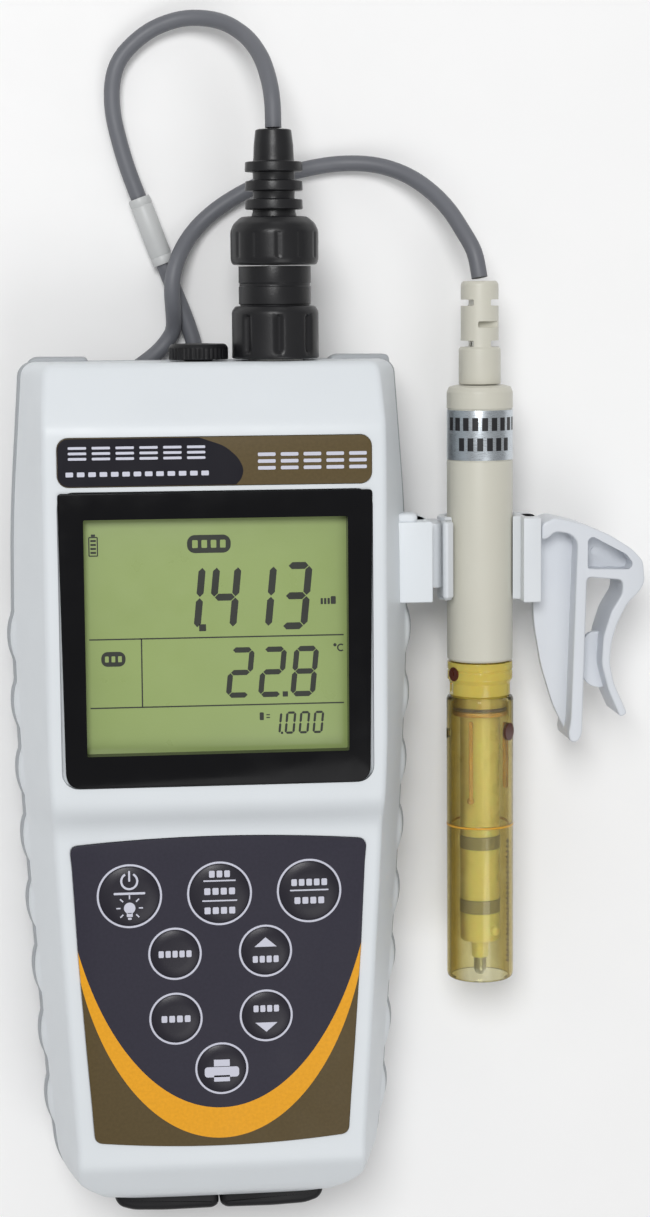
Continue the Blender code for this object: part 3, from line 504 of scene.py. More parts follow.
def cut_mesh(mesh, cutters, operation="DIFFERENCE"):
    """The mesh after Booleans with other meshes, with nothing left over in the scene."""
    for cutter in cutters:
        target = bpy.data.objects.new("cut_target", mesh)
        tool = bpy.data.objects.new("cut_tool", cutter)
        for obj in (target, tool):
            bpy.context.scene.collection.objects.link(obj)
        modifier = target.modifiers.new("cut", "BOOLEAN")
        modifier.operation = operation
        modifier.solver = "EXACT"
        modifier.object = tool
        ready = target.evaluated_get(bpy.context.evaluated_depsgraph_get())
        mesh = bpy.data.meshes.new_from_object(ready)
        for obj in (target, tool):
            bpy.data.objects.remove(obj, do_unlink=True)
    return mesh


def join_meshes(name, meshes):
    """One mesh of several separate ones."""
    bm = bmesh.new()
    for mesh in meshes:
        bm.from_mesh(mesh)
    made = bpy.data.meshes.new(name)
    bm.to_mesh(made)
    bm.free()
    return made


# ---- camera, light and floor --------------------------------------------------------------

def look_matrix(place, direction, up):
    """The matrix of a camera or light at place that looks along direction."""
    back = -direction.normalized()
    right = up.cross(back).normalized()
    turn = Matrix((right, back.cross(right), back)).transposed().to_4x4()
    return Matrix.Translation(place) @ turn


def camera():
    yaw, tilt, roll = (math.radians(a) for a in (6.0, 7.0, 0.45))
    target = Vector((25.8, 37.7, 20.0)) * MM
    back = Vector((-math.tan(yaw), math.tan(tilt), 1.0)).normalized()
    data = bpy.data.cameras.new("camera")
    data.lens = 78.0
    data.sensor_width = 36.0
    data.clip_end = 20.0
    made = bpy.data.objects.new("camera", data)
    made.matrix_world = look_matrix(target + back * 592.5 * MM, -back, Vector((0.0, 1.0, 0.0)))
    made.matrix_world = made.matrix_world @ Matrix.Rotation(-roll, 4, "Z")
    bpy.context.scene.collection.objects.link(made)
    bpy.context.scene.camera = made


def area_light(name, place, target, size, power):
    data = bpy.data.lights.new(name, "AREA")
    data.shape = "DISK"
    data.size = size
    data.energy = power
    made = bpy.data.objects.new(name, data)
    way = Vector(target) - Vector(place)
    made.matrix_world = look_matrix(Vector(place), way, Vector((0.0, 0.3, 1.0)))
    bpy.context.scene.collection.objects.link(made)


def studio():
    world = bpy.data.worlds.new("studio")
    world.use_nodes = True
    sky = world.node_tree.nodes["Background"]
    sky.inputs["Color"].default_value = (1.0, 1.0, 1.0, 1.0)
    sky.inputs["Strength"].default_value = 0.36
    bpy.context.scene.world = world
    middle = (0.02, 0.03, 0.02)
    area_light("key_light", (-0.2, 0.5, 1.2), middle, 0.5, 8.3)
    area_light("fill_light", (0.34, -0.62, 1.15), middle, 0.8, 3.4)
    area_light("edge_light", (0.1, 1.1, 0.4), middle, 0.5, 0.6)
    half, depth, gap = 3000.0, 30.0, 0.6
    corners = ((-half, -half), (half, -half), (half, half), (-half, half))
    mesh = rings_mesh("floor", [[(x, y, z) for x, y in corners] for z in (-depth, -gap)])
    piece("floor", mesh, "floor", None)
    bpy.context.scene.view_settings.view_transform = "Standard"


# ---- cable --------------------------------------------------------------------------------

def smooth_route(points, step):
    """Points about one step apart on a Catmull-Rom curve through the route's points."""
    route = [Vector(p) for p in points]
    dense = []
    for i in range(len(route) - 1):
        before = route[max(i - 1, 0)]
        after = route[min(i + 2, len(route) - 1)]
        a, b = route[i], route[i + 1]
        for k in range(12):
            t = k / 12
            bend = (2 * a + (b - before) * t + (2 * before - 5 * a + 4 * b - after) * t * t
                    + (3 * a - before - 3 * b + after) * t * t * t)
            dense.append(bend * 0.5)
    dense.append(route[-1])
    return even_steps(dense, step)


def even_steps(dense, step):
    total = sum((q - p).length for p, q in zip(dense, dense[1:]))
    count = max(2, round(total / step))
    picked = [dense[0]]
    walked = 0.0
    for p, q in zip(dense, dense[1:]):
        reach = (q - p).length
        while len(picked) < count and walked + reach >= total * len(picked) / count:
            picked.append(p.lerp(q, (total * len(picked) / count - walked) / reach))
        walked += reach
    picked.append(dense[-1])
    return picked


def coil_route():
    """The coil's turns, clockwise: a spiral inwards on the ground, then outwards on top of it."""
    made = []
    steps = 24
    for k in range(int(COIL_TURNS * steps) + 1):
        turns = k / steps
        half = COIL_HALF_TURNS
        radius = COIL_OUTER - COIL_PITCH * (turns if turns < half else 2.0 * half - turns)
        rise = min(1.0, max(0.0, (turns - half + 0.2) / 0.4))
        rise = rise * rise * (3.0 - 2.0 * rise)
        turn = COIL_START - 2.0 * math.pi * turns
        made.append((*polar(*COIL_CENTRE, radius, turn),
                     COIL_LAYERS[0] + (COIL_LAYERS[1] - COIL_LAYERS[0]) * rise))
    return made


def tube_mesh(name, path, radius, sides=20):
    """A round tube along a path, carried without twist."""
    rings = []
    way = (path[1] - path[0]).normalized()
    side = way.orthogonal().normalized()
    for i, here in enumerate(path):
        ahead = path[min(i + 1, len(path) - 1)] - path[max(i - 1, 0)]
        side = (side - ahead * side.dot(ahead) / ahead.length_squared).normalized()
        over = ahead.normalized().cross(side)
        rings.append(hoop(here, side, over, radius, sides))
    return rings_mesh(name, rings)


def cable_path():
    """The whole cable: from the probe's boot, round the coil, to the plug's boot."""
    lead_in = ((-1.2, 94.4, 1.95), (1.6, 90.9, 1.9), (5.4, 88.0, 1.9))
    lead_out = ((-19.2, 88.7, 5.2), (-14.2, 92.0, 4.0), (-10.0, 95.2, 2.8), (-7.6, 98.0, 2.6))
    points = [*LOOP_A[:-1], *lead_in, *coil_route(), *lead_out, *LOOP_B[2:]]
    return list(reversed(smooth_route(points, 1.5)))


def cable():
    path = cable_path()
    sheath = piece("cable_sheath", tube_mesh("cable_sheath", path, CORD_RADIUS), "cable", None)
    dress(sheath, "cable", "cable_loop_a", "cable_coil", "cable_loop_b")
    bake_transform(sheath)
    return sheath, path


def coil_tie():
    """A rubber strap round the coil's near side."""
    middle_y = COIL_CENTRE[1] - 0.5 * (COIL_OUTER + COIL_INNER)
    reach = 0.5 * (COIL_OUTER - COIL_INNER) + CORD_RADIUS + 0.7
    low, high = 0.05, COIL_LAYERS[1] + CORD_RADIUS + 0.7
    outer = bent(((-reach, low), (reach, low), (reach, high), (-reach, high)), 2.0, 6, True)
    inner = inset(outer, 0.6)
    rings = []
    half = 2.5
    x0 = COIL_CENTRE[0]
    for offset, loop in ((-half, inner), (-half + 0.2, outer), (half - 0.2, outer), (half, inner)):
        rings.append([(x0 + offset, middle_y + y, z) for y, z in loop])
    strap = piece("coil_strap", rings_mesh("coil_strap", rings, looped=True), "rubber")
    return dress(strap, "rubber", "coil_tie")


def marker_sleeve():
    """The pale sleeve on the cable, with rounded rims and two moulded grooves."""
    ends = [Vector((-8.2 + (y - 114.3) * (-6.0 / 16.2), y, 2.6)) for y in (129.6, 114.9)]
    profile = [(0.0, 2.15), (0.0, 2.38), (0.02, 2.5)]
    for groove in (0.12, 0.88):
        profile += [(groove - 0.02, 2.5), (groove, 2.36), (groove + 0.02, 2.5)]
    profile += [(0.98, 2.5), (1.0, 2.38), (1.0, 2.15)]
    along = (ends[1] - ends[0]).normalized()
    across = along.cross(Vector((0.0, 0.0, 1.0)))
    over = across.cross(along)
    rings = [hoop(ends[0].lerp(ends[1], share), across, over, radius, 48)
             for share, radius in profile]
    sleeve = piece("marker_sleeve", rings_mesh("marker_sleeve", rings, looped=True), "marker")
    return dress(sleeve, "marker", "cable_marker")


# ---- meter case ---------------------------------------------------------------------------

def at(table, y):
    """The value that a table of (y, value) points gives at y, in straight runs."""
    for (y0, v0), (y1, v1) in zip(table, table[1:]):
        if y <= y1:
            return v0 + (v1 - v0) * max(0.0, y - y0) / (y1 - y0)
    return table[-1][1]


def soft(table, y, reach):
    """The table's value at y, with its corners rounded over the reach on each side."""
    steps = 8
    reach = min(reach, y - table[0][0] + 0.01, table[-1][0] - y + 0.01)
    reach = max(reach, 0.0)
    return sum(at(table, y + reach * k / steps) for k in range(-steps, steps + 1)) / (2 * steps + 1)


def fall(depth, radius):
    """How far a round edge has fallen at a depth into its radius."""
    if depth <= 0.0:
        return 0.0
    return radius - math.sqrt(max(0.0, radius * radius - min(depth, radius) ** 2))


def corner(y, pull_in):
    """How far the case's rounded corners pull its sides in at y."""
    low = BOTTOM_CORNER - pull_in
    high = TOP_CORNER - pull_in
    return (fall(low - (y - CASE_BOTTOM - pull_in), low)
            + fall(high - (CASE_TOP - pull_in - y), high))


def end_fall(y, radius):
    return fall(radius - (y - CASE_BOTTOM), radius) + fall(radius - (CASE_TOP - y), radius)


def grip(y):
    """The rounded finger grips along each side."""
    for crest in GRIP_CRESTS:
        away = abs(y - crest) / GRIP_HALF
        if away < 1.0:
            return GRIP_RISE * (1.0 - away * away) ** 0.8
    return 0.0


def mirrored(right):
    return [*right, *[(-x, z) for x, z in reversed(right)]]


def front_section(y, pull_in, wall, rim):
    """The front housing's outline across X at y: wall, grips, side facet and crowned face."""
    side = soft(SIDE, y, 9.0) - corner(y, pull_in) - pull_in - 1.25
    grip_side = side + 0.45 + (grip(y) if not pull_in else 0.0)
    top = soft(FRONT, y, 1.3) - wall - end_fall(y, 1.3)
    face = min(soft(FACE, y, 5.0) - 0.6 * pull_in, side - 1.2) - 0.6 * corner(y, pull_in)
    ledge = min(24.6, top - 2.6)
    facet_x = 0.5 * (side + face) + 0.12
    facet_z = 0.5 * (ledge + 1.2 + top) + 0.2
    points = [(grip_side, rim), (grip_side, ledge), (side, min(ledge + 1.5, top - 1.4)),
              (facet_x, min(facet_z, top - 0.9)), (face, top - 0.25), (0.6 * face, top), (0.0, top)]
    steps = (0, 4, 3, 4, 8, 2)
    radii = (0.0, 0.9, 1.2, 5.0, 1.3, 4.0)
    right = [points[0]]
    for i in range(1, 6):
        right += bent(points[i - 1:i + 2], radii[i], steps[i])[1:-1]
    return [(x, y, z) for x, z in mirrored(right)]


def rear_section(y, pull_in, wall, rim):
    side = soft(SIDE, y, 9.0) - corner(y, pull_in) - pull_in + (grip(y) if not pull_in else 0.0)
    low = soft(BACK, y, 1.2) + wall + end_fall(y, 1.6)
    rise = rim - low
    points = [(side - 0.45, rim), (side, rim - 0.5), (side - 0.03 * rise, low + 0.45 * rise),
              (side - 0.25 * rise, low + 0.1 * rise), (side - 0.42 * rise, low), (0.0, low)]
    right = [points[0]]
    for i, radius in ((1, 0.4), (2, 5.0), (3, 3.0), (4, 3.0)):
        right += bent(points[i - 1:i + 2], radius, 4)[1:-1]
    return [(x, y, z) for x, z in mirrored(right)]


def case_stations(pull_in, step):
    """Stations along Y, close together at the rounded ends."""
    made = []
    low, high = CASE_BOTTOM + pull_in, CASE_TOP - pull_in
    for k in range(10):
        made.append(low + 3.0 * (k / 10) ** 2)
    count = round((high - low - 6.0) / step)
    made += [low + 3.0 + (high - low - 6.0) * k / count for k in range(count)]
    for k in range(10, -1, -1):
        made.append(high - 3.0 * (k / 10) ** 2)
    return made


def case_mesh(name, section, pull_in, wall, rim, step=1.0):
    rings = [section(y, pull_in, wall, rim) for y in case_stations(pull_in, step)]
    return rings_mesh(name, rings)


def overlay_outline(margin):
    """The keypad's outline: two slanting sides, bowed ends and round corners."""
    corner_radius = 3.0
    low_x, high_x = OVERLAY_SIDE[0][1] + margin, OVERLAY_SIDE[-1][1] + margin
    steps = 16
    right = [(at(OVERLAY_SIDE, y) + margin, y) for y in (-70.0, -57.0, -46.0, -35.0, -24.0, -16.0)]
    top = []
    bottom = []
    for k in range(steps + 1):
        share = 1.0 - 2.0 * k / steps
        top.append((share * (high_x + 0.35),
                    OVERLAY_TOP[0] + (OVERLAY_TOP[1] - OVERLAY_TOP[0]) * share * share + margin))
        bottom.append((-share * (low_x - 0.1),
                       OVERLAY_BOTTOM[0] + (OVERLAY_BOTTOM[1] - OVERLAY_BOTTOM[0]) * share * share
                       - margin))
    points = [*right, *bent([right[-1], top[0], top[1]], corner_radius, 8)[1:-1], *top[1:-1]]
    left = [(-x, y) for x, y in reversed(right)]
    points += [*bent([top[-2], top[-1], left[0]], corner_radius, 8)[1:-1], *left]
    points += [*bent([left[-1], bottom[0], bottom[1]], corner_radius, 8)[1:-1], *bottom[1:-1]]
    points += bent([bottom[-2], bottom[-1], right[0]], corner_radius, 8)[1:-1]
    return points


def front_housing():
    wall, front_wall, gap = 2.4, 2.6, 0.12
    shell = case_mesh("front_shell", front_section, 0.0, 0.0, SEAM_HIGH)
    hollow = case_mesh("hollow", front_section, wall, front_wall, SEAM_HIGH - 1.0, 4.0)
    above, recess = 50.0, 0.3
    cutters = [hollow, cutter(grown(BEZEL, gap, 3.6), BEZEL_Z[0] - recess, above),
               cutter(grown(WINDOW, 2.0, 1.0), 30.0, above),
               cutter(grown(NAME_PLATE, gap, 2.6), NAME_PLATE_Z[0] - recess, above),
               cutter(overlay_outline(gap), 38.9, above)]
    cutters += [drill(x, y, radius, 38.0, 45.0) for x, y, radius in KEYS.values()]
    for x, radius in ((PLUG_AXIS[0], 6.2), (CAP_AXIS[0], 5.1)):
        cutters.append(turned_mesh("cut", ((86.0, radius), (99.0, radius)), (x, 27.0), sides=48))
    shell = piece("front_shell", cut_mesh(shell, cutters), "case", angle=SHELL_ANGLE)
    dress(shell, "case", "front_housing")


def rear_housing():
    wall, back_wall = 2.4, 3.4
    rim = SEAM_HIGH - 0.1
    shell = case_mesh("rear_shell", rear_section, 0.0, 0.0, rim)
    cover = round_box(-25.0, -78.0, 25.0, -12.0, 2.0)
    door = round_box(-22.8, -72.2, 22.8, -17.8, 1.5)
    cutters = [case_mesh("hollow", rear_section, wall, back_wall, rim + 1.0, 4.0),
               cutter(cover, -5.0, 2.4), cutter(door, -5.0, 10.0)]
    for x, y in CASE_SCREWS:
        base = at(BACK, y)
        cutters.append(drill(x, y, 2.9, base - 1.0, base + 2.8, 40))
    shell = piece("rear_shell", cut_mesh(shell, cutters), "rear", angle=SHELL_ANGLE)
    dress(shell, "case", "rear_housing", "housing_gasket")
    for side, low, high in (("left", -39.6, -25.8), ("right", 27.0, 41.0)):
        outline = bent(((low, 91.0), (low, 93.6), (low + 1.6, 94.6), (high - 0.6, 94.5),
                        (high, 91.0)), 1.0, 5)
        dress(prism(f"top_ridge_{side}", outline, 14.5, 20.4, "rear", edge=0.5), "case")


# ---- display, name plate and keypad -------------------------------------------------------

def relief(name, outlines, base, height, finish, body="root"):
    """Thin raised prints, one for each outline, as one piece."""
    meshes = [prism_mesh(name, outline, base, base + height) for outline in outlines]
    return piece(name, join_meshes(name, meshes), finish, body)


def bar(x, y, width, height, radius=None):
    """A bar's outline about its middle, with round corners."""
    radius = min(width, height) * 0.45 if radius is None else radius
    return round_box(x - width / 2, y - height / 2, x + width / 2, y + height / 2, radius)


def stroke(start, end, width):
    """A straight stroke's outline between two points, with flat ends."""
    a, b = Vector(start), Vector(end)
    side = (b - a).normalized().orthogonal() * width / 2
    return [tuple(a - side), tuple(b - side), tuple(b + side), tuple(a + side)]


def arc_stroke(centre, radius, width, start, end, steps=24):
    """A curved stroke's outline from one angle to another, in degrees."""
    turns = [math.radians(start + (end - start) * k / steps) for k in range(steps + 1)]
    outer = [polar(*centre, radius + width / 2, t) for t in turns]
    return outer + [polar(*centre, radius - width / 2, t) for t in reversed(turns)]


def disc(x, y, radius, steps=32):
    return [polar(x, y, radius, 2 * math.pi * k / steps) for k in range(steps)]


def frame_strokes(low_x, low_y, high_x, high_y, width):
    """Four strokes round a box."""
    return ([stroke((low_x, y), (high_x, y), width) for y in (low_y, high_y)]
            + [stroke((x, low_y), (x, high_y), width) for x in (low_x, high_x)])


SEGMENTS = {"0": "abcdef", "1": "bc", "2": "abged", "3": "abgcd", "4": "fgbc", "8": "abcdefg"}


def digit(char, x, y, width, height, thick):
    """The lit segments of a slanted seven-segment digit whose lower left corner is (x, y)."""
    lean = 0.1
    half = thick / 2
    gap = 0.09 * thick
    middle = y + height / 2
    ends = {"a": ((x + half, y + height - half), (x + width - half, y + height - half)),
            "d": ((x + half, y + half), (x + width - half, y + half)),
            "g": ((x + half, middle), (x + width - half, middle)),
            "f": ((x + half, middle), (x + half, y + height - half)),
            "e": ((x + half, y + half), (x + half, middle)),
            "b": ((x + width - half, middle), (x + width - half, y + height - half)),
            "c": ((x + width - half, y + half), (x + width - half, middle))}
    made = []
    for lit in SEGMENTS[char]:
        a, b = (Vector(end) for end in ends[lit])
        along = (b - a).normalized()
        side = Vector((-along.y, along.x)) * half
        a, b = a + along * gap, b - along * gap
        tip = along * half
        outline = (a, a + tip - side, b - tip - side, b, b - tip + side, a + tip + side)
        made.append([(p.x + lean * (p.y - y), p.y) for p in outline])
    return made


def number(text, right, y, width, height, thick, step):
    """A row of digits that ends at right; a dot goes in the space before the next digit."""
    made = []
    x = right - width
    for char in reversed(text):
        if char == ".":
            dot = x + step - 0.5 * (step - width)
            made.append(bar(dot - 0.02 * height, y + thick / 2, thick, thick, 0.1 * thick))
            continue
        made += digit(char, x, y, width, height, thick)
        x -= step
    return made


def display():
    outline = [(-33.7, 66.3), *bent(((-33.7, 40.0), (-32.9, 2.7), (0.0, 2.6)), 3.4, 8)[1:-1],
               *bent(((0.0, 2.6), (32.9, 2.7), (33.7, 40.0)), 3.4, 8)[1:-1], (33.7, 66.3)]
    outline = bent(outline, 0.9, 4, True)
    rim = prism_mesh("bezel_frame", outline, BEZEL_Z[0], BEZEL_Z[1], edge=0.25)
    opening = cutter(round_box(*WINDOW, 0.35), 30.0, 50.0)
    dress(piece("bezel_frame", cut_mesh(rim, [opening]), "bezel"), "bezel", "display_bezel")
    walls = prism_mesh("window_wall", round_box(-29.2, 8.7, 29.2, 61.5, 0.8), LCD_Z,
                       BEZEL_Z[0] - 0.02)
    dress(piece("window_wall", cut_mesh(walls, [opening]), "bezel"), "bezel")
    glass = prism("lcd_glass", round_box(-30.0, 7.9, 30.0, 62.3, 0.6), 38.6, LCD_Z, "lcd", edge=0.1)
    dress(glass, "lcd", "lcd_panel", "display_lens")
    dress(relief("lcd_marks", lcd_marks(), LCD_Z - 0.01, 0.05, "segment"), "bezel")
    faint = [bar(-1.4 + 2.0 * (k - 1.5), 54.8, 1.2, 1.7, 0.2) for k in range(4)]
    faint += [bar(-22.3 + 1.4 * (k - 1), 30.2, 0.8, 1.3, 0.15) for k in range(3)]
    dress(relief("lcd_badge_marks", faint, LCD_Z + 0.03, 0.03, "lcd"), "lcd")


def lcd_marks():
    """The display's digits, dividing lines, badges, battery gauge and unit marks."""
    thin = 0.28
    left, right, upper, lower = -27.4, 27.6, 34.5, 19.6
    marks = [*number("1.413", 19.6, 35.9, 6.1, 14.6, 1.5, 7.7),
             *number("22.8", 21.2, 21.2, 5.4, 11.0, 1.15, 7.0),
             *number("1.000", 22.8, 13.0, 2.2, 4.9, 0.5, 3.05)]
    marks += [stroke((left, upper), (right, upper), thin), stroke((left, lower), (right, lower), thin),
              stroke((-16.2, upper), (-16.2, lower), thin)]
    marks += [bar(-1.4, 54.8, 9.4, 3.9, 1.7), bar(-22.3, 30.2, 5.2, 3.2, 1.4)]
    marks += [*frame_strokes(-27.1, 52.6, -25.3, 56.6, 0.25), bar(-26.2, 57.0, 0.9, 0.5, 0.1)]
    marks += [bar(-26.2, 53.3 + 0.85 * k, 1.2, 0.45, 0.1) for k in range(4)]
    marks += [bar(22.9 + 0.75 * k, 41.9, 0.5, 1.3, 0.1) for k in range(3)]
    marks += [bar(25.4, 42.1, 1.1, 1.7, 0.2), disc(25.7, 32.3, 0.35)]
    marks += [arc_stroke((27.0, 31.7), 0.7, 0.3, 50, 310)]
    marks += [bar(9.6, 17.0, 0.9, 1.7, 0.2)]
    marks += [bar(11.0, y, 0.8, 0.25, 0.1) for y in (16.7, 17.3)]
    return marks


def name_plate():
    low_x, low_y, high_x, high_y = NAME_PLATE
    base, top = NAME_PLATE_Z
    round_ends = round_box(low_x, low_y, high_x, high_y, 2.4)
    plate = prism("name_plate_film", round_ends, base, top, "bronze_film", edge=0.12)
    dress(plate, "bezel", "name_plate")
    rim = 0.12
    left_end = round_box(low_x + rim, low_y + rim, 0.0, high_y - rim, 2.3)
    arc = ((4.4, low_y + rim), (5.6, 69.0), (6.1, 71.0), (5.0, 73.4), (2.1, 76.0),
           (-3.4, high_y - rim))
    dark = [*[p for p in left_end if p[0] < -5.0], *bent(arc, 1.5, 4)]
    dress(prism("name_plate_dark", dark, top - 0.02, top + 0.03, "dark_film"), "bezel")
    blocks = [bar(-29.3 + 5.05 * k, 73.6 + 1.15 * row, 3.9, 0.55, 0.2)
              for k in range(6) for row in range(3)]
    blocks += [bar(-31.0 + 2.4 * k, 70.3, 1.6, 1.0, 0.2) for k in range(13)]
    blocks += [bar(11.0 + 4.9 * k, 71.2 + 1.45 * row, 3.8, 0.75, 0.25)
               for k in range(5) for row in range(3)]
    dress(relief("name_plate_marks", blocks, top + 0.02, 0.03, "ink"), "keypad")


def dashes(x, y, width, count):
    """A row of short dashes in place of a printed word."""
    step = width / count
    return [bar(x + step * (k - (count - 1) / 2), y, 0.74 * step, 1.5, 0.25) for k in range(count)]


def key_marks(name):
    """The prints on a key, about the key's middle."""
    rays = []
    for k in range(-1, 6):
        way = Vector(polar(0.0, 0.0, 1.0, math.radians(45.0 * k)))
        bulb = Vector((0.0, -2.6))
        rays.append(stroke(bulb + way * 2.0, bulb + way * 2.9, 0.3))
    line = 0.32
    prints = {
        "key_power": [arc_stroke((0.0, 3.4), 1.75, 0.45, 120, 420), bar(0.0, 4.5, 0.42, 2.4),
                      bar(0.0, 0.65, 6.9, 0.5), disc(0.0, -2.6, 1.25),
                      bar(0.0, -4.1, 1.3, 0.9, 0.15), bar(0.0, -4.95, 0.8, 0.45, 0.1), *rays],
        "key_cal": [*dashes(0.0, 4.4, 5.0, 3), bar(0.0, 2.9, 7.1, line), *dashes(0.0, 0.55, 7.2, 4),
                    bar(0.0, -1.55, 7.7, line), *dashes(0.0, -3.75, 7.2, 4)],
        "key_enter": [*dashes(0.0, 1.95, 8.3, 5), bar(0.0, 0.2, 8.5, line), *dashes(0.0, -2.1, 7.0, 4)],
        "key_setup": dashes(0.0, 0.0, 7.6, 5),
        "key_mode": dashes(0.0, 0.0, 6.8, 4),
        "key_up": [[(-2.45, 1.0), (2.45, 1.0), (0.0, 3.1)], *dashes(0.0, -1.8, 6.1, 4)],
        "key_down": [[(-2.45, -1.5), (0.0, -3.6), (2.45, -1.5)], *dashes(0.0, 1.65, 6.0, 4)],
        "key_print": [bar(0.0, 1.3, 3.5, 1.5, 0.1), bar(0.0, -0.75, 7.6, 2.3, 0.7),
                      bar(0.0, -2.2, 3.5, 1.4, 0.1)],
    }
    return prints[name]


def keypad():
    field = prism_mesh("keypad_field", overlay_outline(0.0), 39.0, OVERLAY_Z, edge=0.16)
    holes = [drill(x, y, radius + 0.06, 38.0, 45.0, 64) for x, y, radius in KEYS.values()]
    dress(piece("keypad_field", cut_mesh(field, holes), "keypad"), "keypad", "keypad_overlay")
    rings = []
    for name, (x, y, radius) in KEYS.items():
        inner, outer = radius + 0.08, radius + 0.6
        middle = 0.5 * (inner + outer)
        profile = ((OVERLAY_Z - 0.03, inner), (OVERLAY_Z + 0.09, inner + 0.08),
                   (OVERLAY_Z + 0.13, middle), (OVERLAY_Z + 0.09, outer - 0.08),
                   (OVERLAY_Z - 0.03, outer))
        rings.append(turned_mesh(name, profile, (x, y), along="Z", looped=True))
        cap_profile = ((38.6, radius), (KEY_TOP - 0.2, radius), (KEY_TOP - 0.02, radius - 0.3),
                       (KEY_TOP + 0.1, 0.55 * radius), (KEY_TOP + 0.14, 0.05))
        body = name.replace("key_", "") + "_button"
        cap = turned(f"{name}_cap", cap_profile, (x, y), "keycap", body, along="Z", sides=72)
        dress(cap, "keypad", name)
        outlines = [[(x + px, y + py) for px, py in outline] for outline in key_marks(name)]
        dress(relief(f"{name}_marks", outlines, KEY_TOP - 0.02, 0.19, "ink", body), "keypad")
    dress(piece("key_rings", join_meshes("key_rings", rings), "ink"), "keypad")


# ---- connectors ---------------------------------------------------------------------------

def fluted(count, low, high, depth):
    """A turned piece's wave: shallow flutes along its length between two distances."""
    def wave(turn, distance):
        if not low < distance < high:
            return 1.0
        return 1.0 - depth * max(0.0, math.cos(count * turn)) ** 4
    return wave


def ribbed(count, low, high, depth):
    """A turned piece's wave: fine grip ribs all round."""
    def wave(turn, distance):
        if not low < distance < high:
            return 1.0
        return 1.0 - depth * (0.5 + 0.5 * math.cos(count * turn)) ** 2
    return wave


def ladder(points, step):
    """The profile with extra points, so that a wave along it stays smooth."""
    made = [points[0]]
    for (d0, r0), (d1, r1) in zip(points, points[1:]):
        count = max(1, round(abs(d1 - d0) / step))
        made += [(d0 + (d1 - d0) * k / count, r0 + (r1 - r0) * k / count)
                 for k in range(1, count + 1)]
    return made


def connectors():
    """The plug, which is returned with its locking ring, and the port's cover."""
    ring = bent(((94.0, 8.0), (94.0, 9.5), (104.2, 9.5), (105.4, 8.7), (105.4, 8.0)), 0.5, 4, True)
    ring = turned("locking_ring_shell", ladder(ring, 0.6), PLUG_AXIS, "connector", "locking_ring",
                  sides=192, looped=True, wave=fluted(8, 95.2, 103.2, 0.075))
    body_profile = ((95.0, 6.3), (95.0, 7.6), (105.8, 7.6), (105.8, 7.9), (109.6, 7.9), (109.7, 7.7),
                    (110.3, 7.7), (110.4, 7.9), (114.0, 7.9), (114.0, 3.0), (106.5, 3.0), (106.5, 6.3))
    body = turned("plug_neck", body_profile, PLUG_AXIS, "connector", looped=True, edge=0.12)
    grip = ladder(bent(((114.3, 7.0), (114.3, 9.2), (115.4, 9.6), (121.6, 9.6), (123.2, 8.9),
                        (124.7, 7.2), (124.7, 4.0)), 0.6, 5), 0.5)
    grip = turned("plug_grip", grip, PLUG_AXIS, "connector", sides=192,
                  wave=fluted(12, 115.9, 121.4, 0.022))
    boot_profile = [(124.5, 5.0)]
    for centre in (127.3, 131.3, 135.4):
        boot_profile += [(centre - 1.15, 4.6), (centre - 1.05, 6.3), (centre + 1.05, 6.2),
                         (centre + 1.15, 4.5)]
    boot_profile += [(137.4, 4.4), (140.0, 4.3), (143.3, 3.9), (143.5, 3.2), (142.6, 1.9)]
    boot = turned("plug_relief", boot_profile, PLUG_AXIS, "connector", edge=0.25)
    cap_profile = ladder(bent(((89.9, 0.05), (89.9, 2.9), (93.9, 2.9), (93.9, 6.5), (96.5, 6.5),
                               (97.3, 5.9), (97.5, 0.05)), 0.3, 4), 0.4)
    cap = turned("port_cover", cap_profile, CAP_AXIS, "rubber", "cap", sides=192,
                 wave=ribbed(36, 94.2, 96.4, 0.03))
    plug = {"plug_locking_ring": ring, "plug_body": body, "plug_collar": grip, "plug_boot": boot}
    plug = [dress(made, "connector", node) for node, made in plug.items()]
    dress(cap, "connector", "port_cap")
    return plug


# ---- probe --------------------------------------------------------------------------------

def label_patch(y, height, turn, half_turn):
    """A thin curved block on the probe's label, centred at y and at a turn about its axis."""
    rings = []
    for share in (-1.0, -0.5, 0.0, 0.5, 1.0):
        spot = turn + share * half_turn
        ring = []
        for radius, offset in ((7.38, -0.5), (7.38, 0.5), (7.43, 0.5), (7.43, -0.5)):
            x, z = polar(*PROBE_AXIS, radius, spot)
            ring.append((x, y + offset * height, z))
        rings.append(ring)
    return rings_mesh("patch", rings)


def side_stud(name, y, turn, radius, reach, body):
    """A dark round stud on the probe's side at y, a turn in degrees above its right flank."""
    stud = turned_mesh(name, ((reach - 0.9, radius), (reach, radius)), (0.0, 0.0), along="Z",
                       sides=40, edge=0.15)
    lean = Matrix.Rotation(math.radians(90.0 - turn), 4, "Y")
    stud.transform(Matrix.Translation(Vector((PROBE_AXIS[0], y, PROBE_AXIS[1])) * MM) @ lean)
    return dress(piece(name, stud, "maroon", body), "amber")


def on_probe(name, profile, finish, slot, *nodes, body="probe", looped=True, sides=SIDES, edge=0.1):
    """A turned piece on the probe's axis."""
    made = turned(name, profile, PROBE_AXIS, finish, body, looped=looped, sides=sides, edge=edge)
    return dress(made, slot, *nodes)


